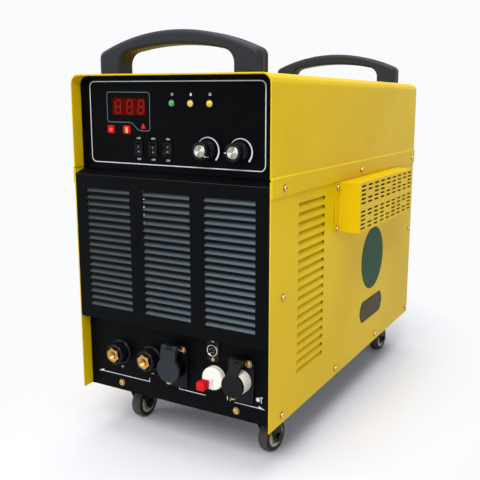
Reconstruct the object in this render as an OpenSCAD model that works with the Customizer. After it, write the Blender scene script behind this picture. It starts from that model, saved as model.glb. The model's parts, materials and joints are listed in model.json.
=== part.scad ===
// Plasma cutting power source with a built-in air compressor, on four swivel casters.
// +Z is up, the front faces -Y, and +X is to the right of someone who faces the front.
// The origin lies on the floor, under the middle of the cabinet.

/* [Cabinet] */
// Width of the cabinet
case_w = 350; // [345:5:430]
// Depth of the cabinet, from its front edge to its rear edge
case_d = 670; // [640:10:820]
// Height of the cabinet, without casters and handles
case_h = 508; // [480:4:620]
// Thickness of the yellow sheet
skin_t = 2; // [1.5:0.5:2.5]
// Thickness of the black panels
panel_t = 2; // [1.5:0.5:2.5]
// Outer radius of the two long top edges
corner_r = 15; // [10:1:20]
// How far the control and connector panels lie behind the front edge
front_recess = 19; // [15:1:24]
// How far the rear panel lies inside the rear edge
rear_recess = 8; // [7:1:12]
// Height of the top cover, down to where it steps out over the side panels
cover_h = 142; // [138:2:150]
// Height of the skirt that laps over the side panels
skirt_h = 25; // [20:1:30]

/* [Louvres] */
// Distance from one front louvre to the next
louvre_pitch = 10.8; // [9:0.2:14]
// Height of the slot of a front louvre
louvre_slot = 6.6; // [5:0.2:8]
// Length of a front louvre
louvre_l = 84; // [70:1:92]
// Gap between two columns of front louvres
louvre_gap = 25; // [14:1:26]
// Distance from one side louvre to the next
side_pitch = 14.3; // [12:0.1:18]
// Height of the slot of a side louvre
side_slot = 8.6; // [6:0.2:10]
// Length of a side louvre
side_louvre_l = 98; // [80:1:120]
// Angle by which the tongues lean in
tongue_lean = 34; // [25:1:40]

/* [Vent box] */
// How far the vent box stands out
vent_out = 38; // [25:1:60]
// Length of the vent box
vent_l = 292; // [270:1:320]
// Height of the vent box
vent_h = 84; // [80:1:92]

/* [Handles] */
// Length of a handle
handle_l = 280; // [260:2:310]
// Thickness of a handle, front to back
handle_t = 34; // [26:1:40]
// Height of a handle
handle_h = 63; // [54:1:80]
// Width of the hand gap at its foot
grip_w = 200; // [160:2:220]
// Height of the hand gap
grip_h = 42; // [36:1:48]

/* [Casters] */
// Wheel diameter
wheel_d = 53; // [44:1:64]
// Width of the tyre
tyre_w = 20; // [16:1:24]
// How far the wheel trails behind its swivel
trail = 20; // [16:1:28]
// Radius of the axle bolt
axle_r = 3; // [2:0.5:4]
// Distance from the cabinet's side to the swivel
caster_side = 49; // [49:1:80]
// Distance from the cabinet's front and rear edges to the swivels
caster_end = 77; // [72:1:120]

/* [Controls] */
// Diameter of a knob's foot
knob_d = 28; // [24:1:32]
// Diameter of a knob's front
knob_front_d = 25.6; // [20:0.2:28]
// Height of a knob
knob_h = 22; // [18:1:26]
// Radius of a knob shaft
shaft_r = 3; // [2:0.5:3.5]
// Width of a rocker's bezel
bezel_w = 15; // [14:0.5:20]
// Height of a rocker's bezel
bezel_h = 21; // [20:0.5:26]
// Tilt of a rocker to either side
rocker_tilt = 8; // [4:1:10]

/* [Connectors] */
// Tapping radius of the torch terminals
terminal_r = 5.1; // [4:0.1:6]
// Radius of the outlet's barrel
outlet_r = 19; // [17:0.5:20]
// Radius of the inlet's barrel
inlet_r = 17.8; // [16:0.1:18.5]
// Radius of the cable passage in the gland
gland_r = 9; // [6:0.5:11]

/* [Hidden] */
$fn = 48;

// Clearances
run_clear = 0.05;  // radial clearance of a shaft in its bore
seat_gap = 0.3;    // gap between faces of pieces that move past each other
through = 1;       // how far a cutter runs past a face

// Cabinet planes
half_w = case_w / 2;
front_y = -case_d / 2;
rear_y = case_d / 2;
inner_w = case_w - 2 * skin_t;
panel_y = front_y + front_recess;
back_y = rear_y - rear_recess;

// Caster stack, from the floor up
wheel_r = wheel_d / 2;
tyre_gap = 8;
fork_t = 3;
race_h = 14;
plate_t = 3;
fork_z = wheel_d + tyre_gap;
race_z = fork_z + fork_t;
plate_z = race_z + race_h;
base_z = plate_z + plate_t;
caster_x = half_w - caster_side;
caster_y = case_d / 2 - caster_end;
race_r = 17;
king_r = 4;
plate_l = 62;
plate_w = 56;
plate_bolt_x = 20;
plate_bolt_y = 23;
rim_r = wheel_r - 7.8;
leg_t = 2.5;
leg_gap = 1.2;
// Resting turn of the front left, front right, rear left and rear right caster
caster_turn = [0, 7, 0, 6];
leg_tip_r = 10.5;

// Heights
top_z = base_z + case_h;
lap_z = top_z - cover_h;
skirt_z = lap_z - skirt_h;
floor_top = base_z + skin_t;

// Louvred panel, measured from the cabinet's bottom and from the lap line
louvre_bottom = base_z + 124;
crease_z = lap_z - 10;
chamfer_rise = 8;
control_z = crease_z + chamfer_rise;
lip_h = 16;
louvre_z = louvre_bottom + 22;
louvre_margin = 18;
louvre_rows = floor((crease_z - louvre_margin - louvre_slot - louvre_z) / louvre_pitch) + 1;
side_louvre_y = front_y + 88;
side_louvre_z = base_z + 58;
side_margin = 16;
side_rows = floor((skirt_z - side_margin - side_slot - side_louvre_z) / side_pitch) + 1;
tongue_t = 1.2;

// Base tray and shelf
flange_h = 24;
tray_front = panel_y + panel_t;
tray_rear = back_y - panel_t;
shelf_z = base_z + 212;
shelf_w = 316;
shelf_foot = 22;
shelf_front = -caster_y - shelf_foot / 2;
shelf_rear = caster_y - plate_bolt_y - 11;

// Vent box on the right side panel
vent_y = front_y + 241;
vent_z = skirt_z - 1 - vent_h;
vent_t = 1.5;
vent_flange = 18;
vent_mouth_inset = 8;
slot_l = 21.5;
slot_h = 3.2;
slot_cols = 9;
slot_rows = 11;
slot_pitch_y = 32.3;
slot_pitch_z = 7.1;

// Screws
screw_r = 2;
screw_head_r = 5.7;
screw_head_h = 3.2;
screw_l = 8;
screw_rise = 13;
side_screw_y = [front_y + 39, front_y + 245, front_y + 451, rear_y - 16];
side_screw_high_y = [front_y + 39, rear_y - 14];
side_screw_high_z = base_z + 194;
skirt_screw_y = [front_y + 37, front_y + 339, rear_y - 19];
skirt_screw_z = lap_z - 14;
vent_screw_y = [vent_y - vent_flange / 2, vent_y + vent_l + vent_flange / 2];
vent_screw_z = [vent_z + 7, vent_z + vent_h - 8];
panel_screw_x = 109;

// Handle bolts
bolt_r = 3;
bolt_head_r = 5.77;
bolt_head_h = 4;
bolt_grip = 22;
handle_bolt_x = (handle_l + grip_w) / 4;
front_handle_y = front_y + 26;
rear_handle_y = rear_y - 15 - handle_t;
shoulder_h = handle_h - 31;
shoulder_reach = handle_l / 2 + shoulder_h - 8;
gap_side_h = grip_h - 12;
gap_reach = grip_w / 2 + gap_side_h - 12;

// Controls, measured down from the top and out from the middle
window_x = -79;
window_z = top_z - 47.5;
window_w = 62;
window_h = 26;
window_lip = 4;
window_fit = 0.15;
module_d = 12;
lamp_x = [2, 34.5, 67];
lamp_z = top_z - 42;
lamp_r = 5.8;
lamp_stem_r = 4;
warn_x = [-113.5, -83];
warn_z = top_z - 82;
warn_w = 13.5;
warn_h = 12;
tri_x = -51.5;
tri_z = top_z - 77;
tri_r = 5.6;
rocker_x = [-61, -34, -7];
rocker_z = top_z - 110;
rocker_rest = [rocker_tilt, rocker_tilt, -rocker_tilt];
bezel_t = 2;
rocker_depth = 4;
rocker_wall = 1.8;
rocker_gap = 0.4;
knob_x = [62.5, 116.5];
knob_z = top_z - 107.5;
knob_lift = 0.6;
bush_r = 4.5;
cap_r = 8.8;
cap_t = 1.4;

// Connectors, measured up from the cabinet's bottom
terminal_x = [-107, -46];
terminal_z = base_z + 68;
terminal_out = 21;
ring_r = 17.5;
ring_flange_r = 20;
hex_r = 11;
stud_r = 8;
outlet_x = 2;
outlet_z = base_z + 65;
outlet_out = 20;
hinge_up = 34;
hinge_out = 17;
hinge_r = 5;
pin_r = 1.5;
lid_t = 5;
flange_t = 4;
flange_w = 42;
flange_l = 68;
flange_r = 6;
flange_screw_x = 13.5;
flange_screw_z = 28;
inlet_x = 119;
inlet_z = base_z + 65;
inlet_out = 25;
cap_hinge_up = 32;
cap_hinge_out = 12;
cap_hinge_r = 4;
pilot_x = 69.5;
pilot_z = base_z + 102.5;
pilot_r = 9.3;
pilot_bore_r = 7.6;
pilot_screw_z = 15;
pilot_screw_r = 1.5;
fitting_x = 72.5;
fitting_z = base_z + 60;
fitting_r = 18;
fitting_out = 12;
stem_r = 3;
valve_near = 28;
valve_far = 42;
valve_w = 13;

// Rear fittings
fan_x = 0;
fan_z = base_z + 332;
fan_w = 150;
fan_d = 40;
fan_bore_r = 70;
fan_screw = 62.5;
fan_post_r = 28;
fan_blades = 7;
breaker_x = -95;
breaker_z = base_z + 150;
gland_x = 95;
gland_z = base_z + 62;
gland_out = 28;

// Insides
comp_y = -10;
comp_z = base_z + 84;
comp_r = 54;
comp_l = 190;
foot_h = 16;

// ---------- helpers ----------

// Extrudes a shape drawn in X and Z from y0 to y1.
module along_y(y0, y1) {
  translate([0, y1, 0]) rotate([90, 0, 0]) linear_extrude(y1 - y0) children();
}

// Extrudes a shape drawn in Y and Z from x0 to x1.
module along_x(x0, x1) {
  translate([x0, 0, 0]) rotate([90, 0, 90]) linear_extrude(x1 - x0) children();
}

// Puts a piece whose own +Z points out of the front panel at x, z.
module out_front(x, z, y = panel_y) {
  translate([x, y, z]) rotate([90, 0, 0]) children();
}

// Puts a piece whose own +Z points out of the rear panel at x, z.
module out_rear(x, z, y = back_y) {
  translate([x, y, z]) rotate([-90, 0, 0]) children();
}

// Rod along X.
module rod_x(r, x0, x1) {
  translate([x0, 0, 0]) rotate([0, 90, 0]) cylinder(h = x1 - x0, r = r);
}

// Flat ring standing on the XY plane.
module ring(r_out, r_in, h) {
  difference() {
    cylinder(h = h, r = r_out);
    translate([0, 0, -through]) cylinder(h = h + 2 * through, r = r_in);
  }
}

// Rectangle with round corners, centred.
module round_rect(w, h, r) {
  square([w - 2 * r, h], center = true);
  square([w, h - 2 * r], center = true);
  for (sx = [-1, 1], sy = [-1, 1]) translate([sx * (w / 2 - r), sy * (h / 2 - r)]) circle(r);
}

// Upright rectangle from z0 to z1 whose two top corners are round.
module round_top(w, z0, z1, r) {
  translate([-w / 2, z0]) square([w, z1 - z0 - r]);
  translate([-w / 2 + r, z0]) square([w - 2 * r, z1 - z0]);
  for (s = [-1, 1]) translate([s * (w / 2 - r), z1 - r]) circle(r);
}

// Unit normal on the right of the way from a to b.
function right_normal(a, b) = [b[1] - a[1], a[0] - b[0]] / norm(b - a);

// Point i of a folded sheet's far face, t to the right of the path.
function fold_point(path, i, t) =
  let (last = len(path) - 1,
       before = right_normal(path[max(i - 1, 0)], path[max(i, 1)]),
       after = right_normal(path[min(i, last - 1)], path[min(i + 1, last)]))
  path[i] + t * (before + after) / (1 + before * after);

// Section of a folded sheet of thickness t, on the right of the path.
module folded(path, t) {
  polygon(concat(path, [for (i = [len(path) - 1 : -1 : 0]) fold_point(path, i, t)]));
}

// Section of a louvre's tongue, from its bend at the origin: up and in.
module tongue(l, t, lean, side = 1) {
  up = [side * sin(lean), cos(lean)] * l;
  thick = [side * cos(lean), -sin(lean)] * t;
  polygon([[0, 0], up, up + thick, thick]);
}

// Pan-head screw, its own +Z out of the panel it seats on.
module screw(l = screw_l, r = screw_r, head_r = screw_head_r, head_h = screw_head_h) {
  translate([0, 0, -l]) cylinder(h = l + head_h / 2, r = r);
  cylinder(h = head_h * 0.6, r = head_r);
  translate([0, 0, head_h * 0.6]) cylinder(h = head_h * 0.4, r1 = head_r, r2 = head_r * 0.7);
}

// Hexagonal bolt with its nut, clamping from z = 0 up to grip.
module hex_bolt(grip, tail, nut = true) {
  translate([0, 0, -bolt_head_h]) cylinder(h = bolt_head_h, r = bolt_head_r, $fn = 6);
  translate([0, 0, -bolt_head_h / 2]) cylinder(h = bolt_head_h / 2 + grip + tail, r = bolt_r);
  if (nut) translate([0, 0, grip]) cylinder(h = bolt_head_h, r = bolt_head_r, $fn = 6);
}

// Calls its children at the four corners of a rectangle.
module corners(dx, dy) {
  for (sx = [-1, 1], sy = [-1, 1]) translate([sx * dx, sy * dy, 0]) children();
}

// ---------- casing ----------

module base_plate() color("dimgray") {
  difference() {
    union() {
      translate([-inner_w / 2, tray_front, base_z]) cube([inner_w, tray_rear - tray_front, skin_t]);
      for (x = [-inner_w / 2, inner_w / 2 - skin_t])
        translate([x, tray_front, base_z]) cube([skin_t, tray_rear - tray_front, flange_h]);
      for (y = [tray_front, tray_rear - skin_t])
        translate([-inner_w / 2, y, base_z]) cube([inner_w, skin_t, flange_h]);
    }
    for (cx = [-caster_x, caster_x], cy = [-caster_y, caster_y])
      translate([cx, cy, base_z - through]) corners(plate_bolt_x, plate_bolt_y)
        cylinder(h = skin_t + 2 * through, r = bolt_r + run_clear);
    for (y = side_screw_y) translate([0, y, base_z + screw_rise])
      rod_x(screw_r + run_clear, -half_w, half_w);
    for (s = [-1, 1]) translate([s * panel_screw_x, 0, base_z + screw_rise]) rotate([-90, 0, 0])
      translate([0, 0, tray_front - through]) cylinder(h = tray_rear - tray_front + 2 * through,
                                                       r = screw_r + run_clear);
  }
}

// Inner shelf that stands on the base tray and carries the power electronics.
module mid_shelf() color("silver") {
  along_x(-shelf_w / 2, shelf_w / 2)
    folded([[shelf_front + shelf_foot, floor_top], [shelf_front, floor_top],
            [shelf_front, shelf_z], [shelf_rear, shelf_z],
            [shelf_rear, floor_top], [shelf_rear - shelf_foot, floor_top]], skin_t);
}

module control_panel() color([0.05, 0.05, 0.06]) {
  along_y(panel_y, panel_y + panel_t) difference() {
    round_top(inner_w, control_z, top_z - skin_t, corner_r);
    translate([window_x, window_z]) square([window_w, window_h], center = true);
    for (x = lamp_x) translate([x, lamp_z]) circle(lamp_stem_r + run_clear);
    for (x = warn_x) translate([x, warn_z]) square([warn_w - 3, warn_h - 3], center = true);
    translate([tri_x, tri_z]) circle(1.5);
    for (x = rocker_x) translate([x, rocker_z])
      square([bezel_w - rocker_wall, bezel_h - rocker_wall], center = true);
    for (x = knob_x) translate([x, knob_z]) circle(bush_r + run_clear);
  }
}

module louvre_panel() color([0.07, 0.07, 0.08]) {
  column_pitch = louvre_l + louvre_gap;
  difference() {
    along_x(-inner_w / 2, inner_w / 2)
      folded([[tray_front, louvre_bottom - lip_h], [tray_front, louvre_bottom],
              [front_y, louvre_bottom], [front_y, crease_z],
              [tray_front, control_z], [tray_front, control_z + lip_h]], panel_t);
    for (column = [-1:1])
      along_y(front_y - through, front_y + panel_t + through)
        for (i = [0:louvre_rows - 1])
          translate([column * column_pitch - louvre_l / 2, louvre_z + i * louvre_pitch])
            square([louvre_l, louvre_slot]);
    along_y(tray_front - through, tray_front + panel_t + through) pilot_holes();
  }
  for (column = [-1:1], i = [0:louvre_rows - 1])
    translate([0, front_y + panel_t - tongue_t, louvre_z + i * louvre_pitch])
      along_x(column * column_pitch - louvre_l / 2, column * column_pitch + louvre_l / 2)
        tongue(louvre_slot + 0.6, tongue_t, tongue_lean);
}

// Holes of the pilot socket and its screws, through each sheet behind it.
module pilot_holes() {
  translate([pilot_x, pilot_z]) circle(pilot_r - 1 + run_clear);
  for (s = [-1, 1]) translate([pilot_x, pilot_z + s * pilot_screw_z]) circle(pilot_screw_r + run_clear);
}

module lower_panel() color([0.05, 0.05, 0.06]) {
  along_y(panel_y, panel_y + panel_t) difference() {
    translate([-inner_w / 2, base_z]) square([inner_w, louvre_bottom - base_z]);
    for (x = terminal_x) translate([x, terminal_z]) circle(stud_r + 4 + run_clear);
    translate([outlet_x, outlet_z]) circle(outlet_r - 2 + run_clear);
    translate([inlet_x, inlet_z]) circle(inlet_r - 2 + run_clear);
    pilot_holes();
    translate([fitting_x, fitting_z]) circle(stud_r + run_clear);
    for (s = [-1, 1]) {
      translate([s * panel_screw_x, base_z + screw_rise]) circle(screw_r + run_clear);
      translate([outlet_x + s * flange_screw_x, outlet_z + s * flange_screw_z])
        circle(screw_r + run_clear);
      translate([inlet_x + s * flange_screw_x, inlet_z + s * flange_screw_z])
        circle(screw_r + run_clear);
    }
  }
}

module rear_panel() color([0.05, 0.05, 0.06]) {
  along_y(back_y - panel_t, back_y) difference() {
    round_top(inner_w, base_z, top_z - skin_t, corner_r);
    translate([fan_x, fan_z]) circle(fan_bore_r - 1);
    for (sx = [-1, 1], sz = [-1, 1]) translate([fan_x + sx * fan_screw, fan_z + sz * fan_screw])
      circle(screw_r + run_clear);
    translate([breaker_x, breaker_z]) square([50, 46], center = true);
    translate([gland_x, gland_z]) circle(gland_r + 4 + run_clear);
    for (s = [-1, 1]) translate([s * panel_screw_x, base_z + screw_rise])
      circle(screw_r + run_clear);
    for (column = [-1, 1], i = [0:7])
      translate([column * 36 - 30, base_z + 44 + i * 11]) square([60, 4]);
  }
}

// Right-hand side panel with its louvres; vented adds the mouth behind the vent box.
module side_sheet(vented) {
  along_x(half_w - skin_t, half_w) difference() {
    translate([front_y, base_z]) square([case_d, lap_z - skin_t - base_z]);
    for (i = [0:side_rows - 1])
      translate([side_louvre_y, side_louvre_z + i * side_pitch])
        square([side_louvre_l, side_slot]);
    for (y = side_screw_y) translate([y, base_z + screw_rise]) circle(screw_r + run_clear);
    for (y = side_screw_high_y) translate([y, side_screw_high_z]) circle(screw_r + run_clear);
    for (y = skirt_screw_y) translate([y, skirt_screw_z]) circle(screw_r + run_clear);
    if (vented) {
      translate([vent_y + vent_mouth_inset, vent_z + vent_mouth_inset])
        square([vent_l - 2 * vent_mouth_inset, vent_h - 2 * vent_mouth_inset]);
      for (y = vent_screw_y, z = vent_screw_z) translate([y, z]) circle(screw_r + run_clear);
    }
  }
  for (i = [0:side_rows - 1])
    along_y(side_louvre_y, side_louvre_y + side_louvre_l)
      translate([half_w - skin_t + tongue_t, side_louvre_z + i * side_pitch])
        tongue(side_slot + 0.6, tongue_t, tongue_lean, -1);
}

module side_panel_right() color([0.83, 0.72, 0.16]) side_sheet(true);

module side_panel_left() color([0.83, 0.72, 0.16]) mirror([1, 0, 0]) side_sheet(false);

module top_cover() color([0.83, 0.72, 0.16]) {
  out_w = half_w + skin_t;
  difference() {
    along_y(front_y, rear_y) difference() {
      union() {
        round_top(case_w, lap_z, top_z, corner_r);
        polygon([[-out_w, skirt_z], [out_w, skirt_z], [out_w, lap_z + 1],
                 [half_w, lap_z + 3], [-half_w, lap_z + 3], [-out_w, lap_z + 1]]);
      }
      round_top(inner_w, skirt_z - through, top_z - skin_t, corner_r - skin_t);
      translate([-half_w, skirt_z - through]) square([case_w, lap_z - skirt_z + through]);
    }
    for (y = skirt_screw_y) translate([0, y, skirt_screw_z])
      rod_x(screw_r + run_clear, -half_w - 2 * skin_t, half_w + 2 * skin_t);
    for (x = [-handle_bolt_x, handle_bolt_x], y = [front_handle_y, rear_handle_y])
      translate([x, y + handle_t / 2, top_z - skin_t - through])
        cylinder(h = skin_t + 2 * through, r = bolt_r + run_clear);
  }
}

// Slots of the vent box, drawn in Y and Z from the box's near lower corner.
module vent_slots() {
  for (column = [0:slot_cols - 1], row = [0:slot_rows - 1]) {
    blank_row = row == 5;
    short_column = column % 3 == 1 && (row == 2 || row == 8);
    if (!blank_row && !short_column)
      translate([vent_l / 2 + (column - (slot_cols - 1) / 2) * slot_pitch_y,
                 vent_h / 2 + (row - (slot_rows - 1) / 2) * slot_pitch_z])
        square([slot_l, slot_h], center = true);
  }
}

module vent_box() color([0.86, 0.76, 0.18]) {
  difference() {
    translate([half_w, vent_y, vent_z]) cube([vent_out, vent_l, vent_h]);
    translate([half_w - through, vent_y + vent_t, vent_z + vent_t])
      cube([vent_out - vent_t + through, vent_l - 2 * vent_t, vent_h - 2 * vent_t]);
    translate([0, vent_y, vent_z])
      along_x(half_w + vent_out - vent_t - through, half_w + vent_out + through) vent_slots();
  }
  along_x(half_w, half_w + vent_t) difference() {
    for (y = [vent_y - vent_flange, vent_y + vent_l - vent_t])
      translate([y, vent_z]) square([vent_flange + vent_t, vent_h]);
    for (y = vent_screw_y, z = vent_screw_z) translate([y, z]) circle(screw_r + run_clear);
  }
}

// ---------- handles and fasteners ----------

// Radius of an arc over a half chord with a given rise.
function arc_r(half_chord, rise) = (half_chord * half_chord + rise * rise) / (2 * rise);

// Square on its corner, which holds |x| + |z| to a given reach.
module cut_corners(reach) {
  rotate(45) square(reach * sqrt(2), center = true);
}

module handle_outline() {
  crown_r = arc_r(handle_l / 2, handle_h - shoulder_h);
  gap_r = arc_r(grip_w / 2, grip_h - gap_side_h);
  difference() {
    intersection() {
      translate([-handle_l / 2, 0]) square([handle_l, handle_h]);
      translate([0, handle_h - crown_r]) circle(crown_r, $fn = 160);
      cut_corners(shoulder_reach);
    }
    intersection() {
      translate([-grip_w / 2, -through]) square([grip_w, grip_h + through]);
      translate([0, grip_h - gap_r]) circle(gap_r, $fn = 160);
      cut_corners(gap_reach);
    }
  }
}

module handle_at(y) {
  difference() {
    translate([0, 0, top_z]) along_y(y, y + handle_t) handle_outline();
    for (x = [-handle_bolt_x, handle_bolt_x])
      translate([x, y + handle_t / 2, top_z - through])
        cylinder(h = bolt_grip + 2 + through, r = bolt_r + run_clear);
  }
}

module front_handle() color([0.12, 0.12, 0.12]) handle_at(front_handle_y);

module rear_handle() color([0.12, 0.12, 0.12]) handle_at(rear_handle_y);

module hex_bolts() color("silver") {
  for (x = [-handle_bolt_x, handle_bolt_x], y = [front_handle_y, rear_handle_y])
    translate([x, y + handle_t / 2, top_z - skin_t]) hex_bolt(bolt_grip, skin_t, false);
  for (cx = [-caster_x, caster_x], cy = [-caster_y, caster_y])
    translate([cx, cy, plate_z]) corners(plate_bolt_x, plate_bolt_y)
      hex_bolt(plate_t + skin_t, bolt_head_h + 1);
}

module case_screws() color([0.80, 0.62, 0.30]) {
  for (s = [0, 1]) mirror([s, 0, 0]) {
    for (y = side_screw_y) translate([half_w, y, base_z + screw_rise]) rotate([0, 90, 0]) screw();
    for (y = side_screw_high_y) translate([half_w, y, side_screw_high_z]) rotate([0, 90, 0])
      screw();
    for (y = skirt_screw_y) translate([half_w + skin_t, y, skirt_screw_z]) rotate([0, 90, 0])
      screw();
  }
  for (y = vent_screw_y, z = vent_screw_z)
    translate([half_w + vent_t, y, z]) rotate([0, 90, 0]) screw();
  for (s = [-1, 1]) {
    out_front(s * panel_screw_x, base_z + screw_rise) screw();
    out_rear(s * panel_screw_x, base_z + screw_rise) screw();
    out_front(outlet_x + s * flange_screw_x, outlet_z + s * flange_screw_z, panel_y - flange_t)
      screw(screw_l + 2);
    out_front(inlet_x + s * flange_screw_x, inlet_z + s * flange_screw_z, panel_y - flange_t)
      screw(screw_l + 2);
    out_front(pilot_x, pilot_z + s * pilot_screw_z, panel_y - 1.5)
      screw(6, pilot_screw_r, 3.3, 2);
  }
  out_rear(fan_x, fan_z, back_y + 1.5) corners(fan_screw, fan_screw) screw(12);
}

// ---------- control panel ----------

// Red filter window, with a lip behind the panel.
module display_window() color([0.5, 0.05, 0.05, 0.6]) {
  out_front(window_x, window_z, panel_y + panel_t)
    linear_extrude(panel_t) square([window_w - 2 * window_fit, window_h - 2 * window_fit], center = true);
  out_front(window_x, window_z, panel_y + panel_t + 1)
    linear_extrude(1) square([window_w + 2 * window_lip, window_h + 2 * window_lip], center = true);
}

module display_module() color([0.15, 0.15, 0.15]) {
  out_front(window_x, window_z, panel_y + panel_t + 1 + module_d) linear_extrude(module_d)
    square([window_w + 2, window_h + 2], center = true);
}

// Domed lamp with its stem through the panel and its nut behind it.
module lamp() {
  translate([0, 0, -14]) cylinder(h = 15, r = lamp_stem_r);
  cylinder(h = 2, r = lamp_r);
  intersection() {
    translate([0, 0, 2]) cylinder(h = 3, r = lamp_r);
    translate([0, 0, 4 - arc_r(lamp_r - 0.6, 2.4)]) sphere(r = arc_r(lamp_r - 0.6, 2.4));
  }
  translate([0, 0, -panel_t - 3]) cylinder(h = 3, r = 6.5, $fn = 6);
}

module status_lamps() color([0.75, 0.65, 0.15]) {
  for (x = lamp_x) out_front(x, lamp_z) lamp();
}

// Two square warning windows and a triangular one, each with a stem through the panel.
module warning_lamps() color([0.85, 0.1, 0.1]) {
  for (x = warn_x) out_front(x, warn_z) {
    linear_extrude(0.8) square([warn_w, warn_h], center = true);
    translate([0, 0, -panel_t - 3]) linear_extrude(panel_t + 3.5)
      square([warn_w - 3 - 2 * window_fit, warn_h - 3 - 2 * window_fit], center = true);
  }
  out_front(tri_x, tri_z) {
    rotate(90) cylinder(h = 0.8, r = tri_r, $fn = 3);
    translate([0, 0, -panel_t - 3]) cylinder(h = panel_t + 3.5, r = 1.5 - run_clear);
  }
}

module rocker_bezels() color([0.08, 0.08, 0.09]) {
  body_w = bezel_w - rocker_wall - 2 * run_clear;
  body_h = bezel_h - rocker_wall - 2 * run_clear;
  open_w = bezel_w - 2 * rocker_wall - 1;
  open_h = bezel_h - 2 * rocker_wall;
  for (x = rocker_x) out_front(x, rocker_z) difference() {
    union() {
      linear_extrude(bezel_t) round_rect(bezel_w, bezel_h, 1);
      translate([0, 0, -16]) linear_extrude(16.5) square([body_w, body_h], center = true);
    }
    translate([0, 0, -11]) linear_extrude(11 + bezel_t + through)
      square([open_w, open_h], center = true);
    translate([0, 0, -rocker_depth]) rod_x(1.2 + run_clear, -open_w / 2 - 0.8, open_w / 2 + 0.8);
  }
}

// Rocker i at its resting tilt, on trunnions in its bezel.
module rocker(i) {
  half_open_w = (bezel_w - 2 * rocker_wall - 1) / 2;
  half_h = bezel_h / 2 - rocker_wall - 1.3;
  crown = rocker_depth + bezel_t;
  translate([rocker_x[i], panel_y + rocker_depth, rocker_z]) rotate([rocker_rest[i], 0, 0]) {
    along_x(-half_open_w + rocker_gap, half_open_w - rocker_gap)
      polygon([[-crown, -half_h], [-crown + 1, 0], [-crown, half_h],
               [2, half_h], [4, 2], [4, -2], [2, -half_h]]);
    rod_x(1.2, -half_open_w - 0.6, half_open_w + 0.6);
  }
}

module rocker_left() color([0.10, 0.10, 0.11]) rocker(0);

module rocker_middle() color([0.10, 0.10, 0.11]) rocker(1);

module rocker_right() color([0.10, 0.10, 0.11]) rocker(2);

// Tapered knob, hollow under its foot, with a blind bore for the shaft.
module knob() {
  difference() {
    union() {
      cylinder(h = 3, r = knob_d / 2);
      translate([0, 0, 3]) cylinder(h = knob_h - 3, r1 = knob_d / 2 - 0.6, r2 = knob_front_d / 2);
    }
    translate([0, 0, -through]) cylinder(h = 3.5 + through, r = bush_r + 4);
    translate([0, 0, -through]) cylinder(h = knob_h - 4 + through, r = shaft_r + run_clear);
    translate([0, 0, knob_h - cap_t + 0.4]) cylinder(h = cap_t + through, r = cap_r + run_clear);
  }
}

module current_knob() color([0.05, 0.05, 0.05]) out_front(knob_x[0], knob_z, panel_y - knob_lift) knob();

module pressure_knob() color([0.05, 0.05, 0.05]) out_front(knob_x[1], knob_z, panel_y - knob_lift) knob();

// Metal disc in the end of knob i.
module knob_cap(i) {
  out_front(knob_x[i], knob_z, panel_y - knob_lift - knob_h + cap_t - 0.4) cylinder(h = cap_t, r = cap_r);
}

module current_knob_cap() color("silver") knob_cap(0);

module pressure_knob_cap() color("silver") knob_cap(1);

module potentiometers() color([0.55, 0.57, 0.58]) {
  for (x = knob_x) out_front(x, knob_z) {
    translate([0, 0, -panel_t - 11]) cylinder(h = 11, r = 12);
    translate([0, 0, -panel_t - 1]) cylinder(h = panel_t + 1 + 3, r = bush_r);
    cylinder(h = 2, r = bush_r + 2, $fn = 6);
    cylinder(h = knob_lift + knob_h - 5, r = shaft_r);
  }
}

// ---------- connectors ----------

module terminal_rings() color([0.05, 0.05, 0.05]) {
  for (x = terminal_x) out_front(x, terminal_z) difference() {
    union() {
      translate([0, 0, -12]) cylinder(h = 13, r = stud_r + 4);
      cylinder(h = 4, r = ring_flange_r);
      translate([0, 0, 4]) cylinder(h = terminal_out - 6, r = ring_r);
      translate([0, 0, terminal_out - 2]) cylinder(h = 2, r1 = ring_r, r2 = ring_r - 2);
    }
    translate([0, 0, -12 - through]) cylinder(h = 12 + terminal_out, r = stud_r + run_clear);
    translate([0, 0, terminal_out - 6]) cylinder(h = 6 + through, r = hex_r + 0.4);
  }
}

// Tapped brass terminals with hexagonal heads.
module terminal_nuts() color([0.80, 0.62, 0.30]) {
  for (x = terminal_x) out_front(x, terminal_z) difference() {
    union() {
      translate([0, 0, -24]) cylinder(h = terminal_out + 24 - 6, r = stud_r);
      translate([0, 0, terminal_out - 6]) rotate(12) cylinder(h = 9, r = hex_r, $fn = 6);
    }
    translate([0, 0, terminal_out - 13]) cylinder(h = 16 + through, r = terminal_r);
  }
}

// Flange with round corners and its two screw holes.
module connector_flange() {
  linear_extrude(flange_t) difference() {
    round_rect(flange_w, flange_l, flange_r);
    for (s = [-1, 1]) translate([s * flange_screw_x, s * flange_screw_z])
      circle(screw_r + run_clear);
  }
}

// Central lug of a lid's hinge: up is its own +Y, out its +Z.
module hinge_lug(up, out, r, half) {
  along_x(-half, half) {
    translate([up, out]) circle(r);
    translate([up - r, flange_t / 2]) square([2 * r, out - flange_t / 2]);
  }
}

module outlet_body() color([0.05, 0.06, 0.07]) {
  out_front(outlet_x, outlet_z) difference() {
    union() {
      connector_flange();
      cylinder(h = outlet_out, r = outlet_r);
      translate([0, 0, -30]) cylinder(h = 31, r = outlet_r - 2);
      hinge_lug(hinge_up - 1, hinge_out, hinge_r, 5);
    }
    difference() {
      translate([0, 0, flange_t]) cylinder(h = outlet_out, r = outlet_r - 3);
      cylinder(h = outlet_out - 10, r = outlet_r - 7);
    }
    for (a = [90, 210, 330]) rotate(a) translate([6.5, 0, -8]) cylinder(h = outlet_out, r = 2.4);
    translate([0, hinge_up - 1, hinge_out]) rod_x(pin_r + run_clear, -6, 6);
  }
}

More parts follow.
